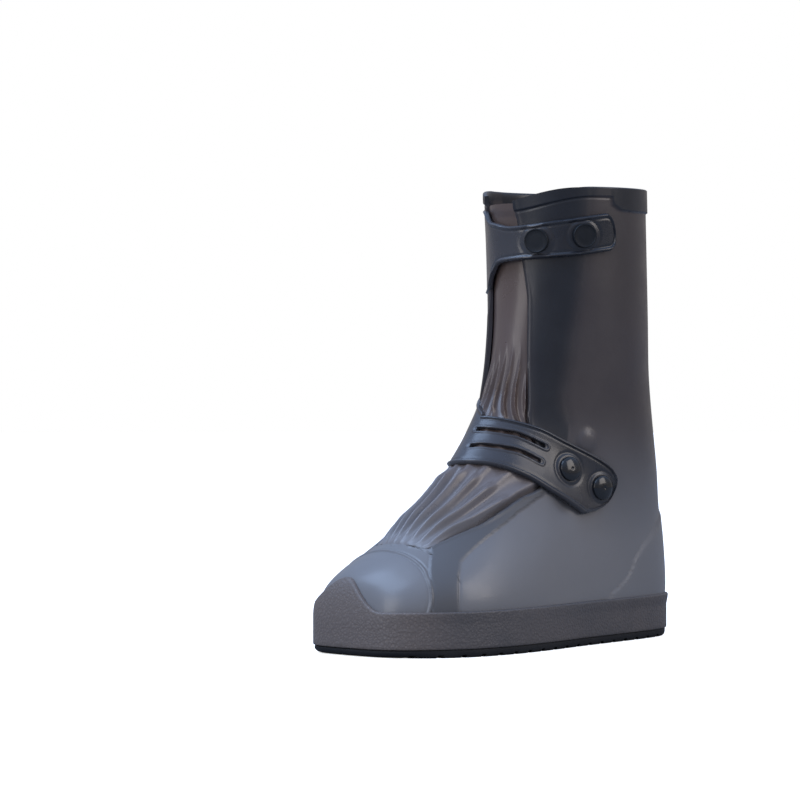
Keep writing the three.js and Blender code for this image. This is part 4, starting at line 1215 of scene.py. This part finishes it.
def add_snaps():
    """Four snap caps on the straps and the studs behind the outer quarter."""
    s = sizes()
    mould = Mould(s)
    shank = 2.2 * MM
    c = colours()
    cap_gloss = material("snap_cap_plastic", lambda name: gloss(name, tuple(c.snap), 0.14, 0.5))
    cap_satin = material("snap_satin_plastic", lambda name: gloss(name, tuple(c.snap), 0.5, 0.0))
    groups = (
        ("top", TOP_STRAP, s.top_strap_width, TOP_SNAPS, flat_cap, cap_satin),
        ("instep", INSTEP_STRAP, s.instep_strap_width, INSTEP_SNAPS, domed_cap, cap_gloss),
    )
    under = s.strap_seat + s.raised
    for label, rows, width, shares, shape, cap_material in groups:
        ribbon = Ribbon(mould, rows, width)
        for i, share in enumerate(shares, 1):
            place = snap_place(mould, ribbon, share)
            base = under + s.strap_thickness + s.gap + stand_off(s.cap_radius, s) * 0.6
            profile = [(0, s.gap / 2), (shank, s.gap / 2), (shank, base)]
            bm = spun(profile + shape(s.cap_radius, base, s.cap_height), place)
            as_piece(bm, f"{label}_cap_{i}", cap_material, [f"{label}_snap_cap_{i}"], sharp=40)
            top = -s.wall - s.gap - stand_off(s.stud_radius, s) * 1.4
            radius = s.stud_radius
            profile = [
                (0, top - 1.4 * MM), (radius - 0.5 * MM, top - 1.4 * MM), (radius, top - 0.9 * MM),
                (radius, top), (shank, top), (shank, -s.gap / 2), (0, -s.gap / 2),
            ]
            bm = spun(profile, place)
            as_piece(bm, f"{label}_stud_{i}", cap_satin, [f"{label}_snap_stud_{i}"], sharp=40)


# Stage

PHOTO = 800
FOCAL = 3420
SENSOR = 36
RIGHT_OF_MIDDLE = 104.9
UNDER_MIDDLE = 7.4
FLOOR_RADIUS = 6
FLOOR_SHINE = 0.72


def add_floor():
    """A white floor that shines a little itself."""
    bm = bmesh.new()
    bmesh.ops.create_circle(bm, cap_ends=True, radius=FLOOR_RADIUS, segments=96)
    mesh = bpy.data.meshes.new("studio_floor")
    bm.to_mesh(mesh)
    bm.free()
    paper = material("floor_paper", lambda name: plain(name, tuple(colours().floor), 0.9, FLOOR_SHINE))
    mesh.materials.append(paper)
    floor = bpy.data.objects.new("studio_floor", mesh)
    bpy.context.scene.collection.objects.link(floor)


def add_light(name, place, aim, size, power, tint):
    light = bpy.data.lights.new(name, "AREA")
    light.shape = "RECTANGLE"
    light.size, light.size_y = size
    light.energy = power
    light.color = tint
    made = bpy.data.objects.new(name, light)
    made.location = place
    made.rotation_euler = (Vector(aim) - Vector(place)).to_track_quat("-Z", "Y").to_euler()
    bpy.context.scene.collection.objects.link(made)


def add_camera():
    """The photograph's view, from the front of the outer side and a little over the floor."""
    camera = bpy.data.cameras.new("camera")
    camera.sensor_width = SENSOR
    camera.lens = SENSOR * FOCAL / PHOTO
    camera.clip_end = 50
    made = bpy.data.objects.new("camera", camera)
    place = Vector((1.4, -1.55981, 0.175))
    aim = Vector((-0.00516, 0.00079, 0.145))
    look = (aim - place).to_track_quat("-Z", "Y").to_matrix().to_4x4()
    right = math.atan(RIGHT_OF_MIDDLE / FOCAL)
    down = math.atan(UNDER_MIDDLE / FOCAL)
    turn = Matrix.Rotation(right, 4, "Y") @ Matrix.Rotation(down, 4, "X")
    made.matrix_world = Matrix.Translation(place) @ look @ turn
    bpy.context.scene.collection.objects.link(made)
    bpy.context.scene.camera = made


def add_studio():
    """A white backdrop, daylight that is bluer from above, and three soft lights."""
    world = bpy.data.worlds.new("studio")
    world.use_nodes = True
    tree = world.node_tree
    tree.nodes.clear()
    seen = node(tree, "ShaderNodeLightPath").outputs["Is Camera Ray"]
    up = node(tree, "ShaderNodeSeparateXYZ", {
        "Vector": node(tree, "ShaderNodeTexCoord").outputs["Generated"],
    }).outputs["Z"]
    daylight = mixed(tree, ranged(tree, up, 0.05, 0.9), (0.33, 0.31, 0.305, 1), (0.5, 0.66, 1.0, 1))
    tint = mixed(tree, seen, daylight, (1, 1, 1, 1))
    strength = ranged(tree, seen, 0.0, 1.0, 1.1, 1.0)
    background = node(tree, "ShaderNodeBackground", {"Color": tint, "Strength": strength})
    node(tree, "ShaderNodeOutputWorld", {"Surface": background.outputs["Background"]})
    bpy.context.scene.world = world
    bpy.context.scene.view_settings.view_transform = "Standard"
    add_floor()
    middle = (0, 0, 0.14)
    add_light("sky", (-0.5, -1.1, 1.9), middle, (1.9, 1.2), 32, (0.5, 0.68, 1.0))
    add_light("front", (0.2, -2.2, 0.9), middle, (1.0, 1.2), 10, (1.0, 0.97, 0.96))
    add_light("side", (2.2, 0.9, 1.2), middle, (1.2, 1.4), 17, (1.0, 0.92, 0.86))
    add_camera()


# Operators, panel and registration

class SHOECOVER_OT_upper(bpy.types.Operator):
    """Model the hollow upper"""

    bl_idname = "shoe_cover.upper"
    bl_label = "Upper"

    def execute(self, context):
        add_upper()
        return {"FINISHED"}


class SHOECOVER_OT_gusset(bpy.types.Operator):
    """Model the folded gusset"""

    bl_idname = "shoe_cover.gusset"
    bl_label = "Gusset"

    def execute(self, context):
        add_gusset()
        return {"FINISHED"}


class SHOECOVER_OT_straps(bpy.types.Operator):
    """Model the collar strap and the instep strap"""

    bl_idname = "shoe_cover.straps"
    bl_label = "Straps"

    def execute(self, context):
        add_top_strap()
        add_instep_strap()
        return {"FINISHED"}


class SHOECOVER_OT_rand(bpy.types.Operator):
    """Model the rand with its toe bumper"""

    bl_idname = "shoe_cover.rand"
    bl_label = "Rand"

    def execute(self, context):
        add_rand()
        return {"FINISHED"}


class SHOECOVER_OT_outsole(bpy.types.Operator):
    """Model the outsole with its tread"""

    bl_idname = "shoe_cover.outsole"
    bl_label = "Outsole"

    def execute(self, context):
        add_outsole()
        return {"FINISHED"}


class SHOECOVER_OT_snaps(bpy.types.Operator):
    """Model the snap caps and studs"""

    bl_idname = "shoe_cover.snaps"
    bl_label = "Snaps"

    def execute(self, context):
        add_snaps()
        return {"FINISHED"}


class SHOECOVER_OT_stage(bpy.types.Operator):
    """Set up the floor, the lights and the camera"""

    bl_idname = "shoe_cover.stage"
    bl_label = "Stage"

    def execute(self, context):
        add_studio()
        return {"FINISHED"}


class SHOECOVER_PT_panel(bpy.types.Panel):
    """Sizes, colours and pieces of the shoe cover"""

    bl_idname = "SHOECOVER_PT_panel"
    bl_label = "Shoe cover"
    bl_space_type = "VIEW_3D"
    bl_region_type = "UI"
    bl_category = "Shoe cover"

    def draw(self, context):
        layout = self.layout
        for group in (context.scene.shoe_cover_sizes, context.scene.shoe_cover_colours):
            box = layout.box()
            for name in group.bl_rna.properties.keys():
                if name not in ("rna_type", "name"):
                    box.prop(group, name)
        for made in OPERATORS:
            layout.operator(made.bl_idname)


OPERATORS = (
    SHOECOVER_OT_stage, SHOECOVER_OT_upper, SHOECOVER_OT_gusset, SHOECOVER_OT_straps, SHOECOVER_OT_rand,
    SHOECOVER_OT_outsole, SHOECOVER_OT_snaps,
)
CLASSES = (ShoeCoverSizes, ShoeCoverColours, *OPERATORS, SHOECOVER_PT_panel)


def register():
    for made in CLASSES:
        bpy.utils.register_class(made)
    bpy.types.Scene.shoe_cover_sizes = bpy.props.PointerProperty(type=ShoeCoverSizes)
    bpy.types.Scene.shoe_cover_colours = bpy.props.PointerProperty(type=ShoeCoverColours)


def unregister():
    del bpy.types.Scene.shoe_cover_colours
    del bpy.types.Scene.shoe_cover_sizes
    for made in reversed(CLASSES):
        bpy.utils.unregister_class(made)


def main():
    register()
    bpy.ops.shoe_cover.stage()
    bpy.ops.shoe_cover.upper()
    bpy.ops.shoe_cover.gusset()
    bpy.ops.shoe_cover.straps()
    bpy.ops.shoe_cover.rand()
    bpy.ops.shoe_cover.outsole()
    bpy.ops.shoe_cover.snaps()


if __name__ == "__main__":
    main()
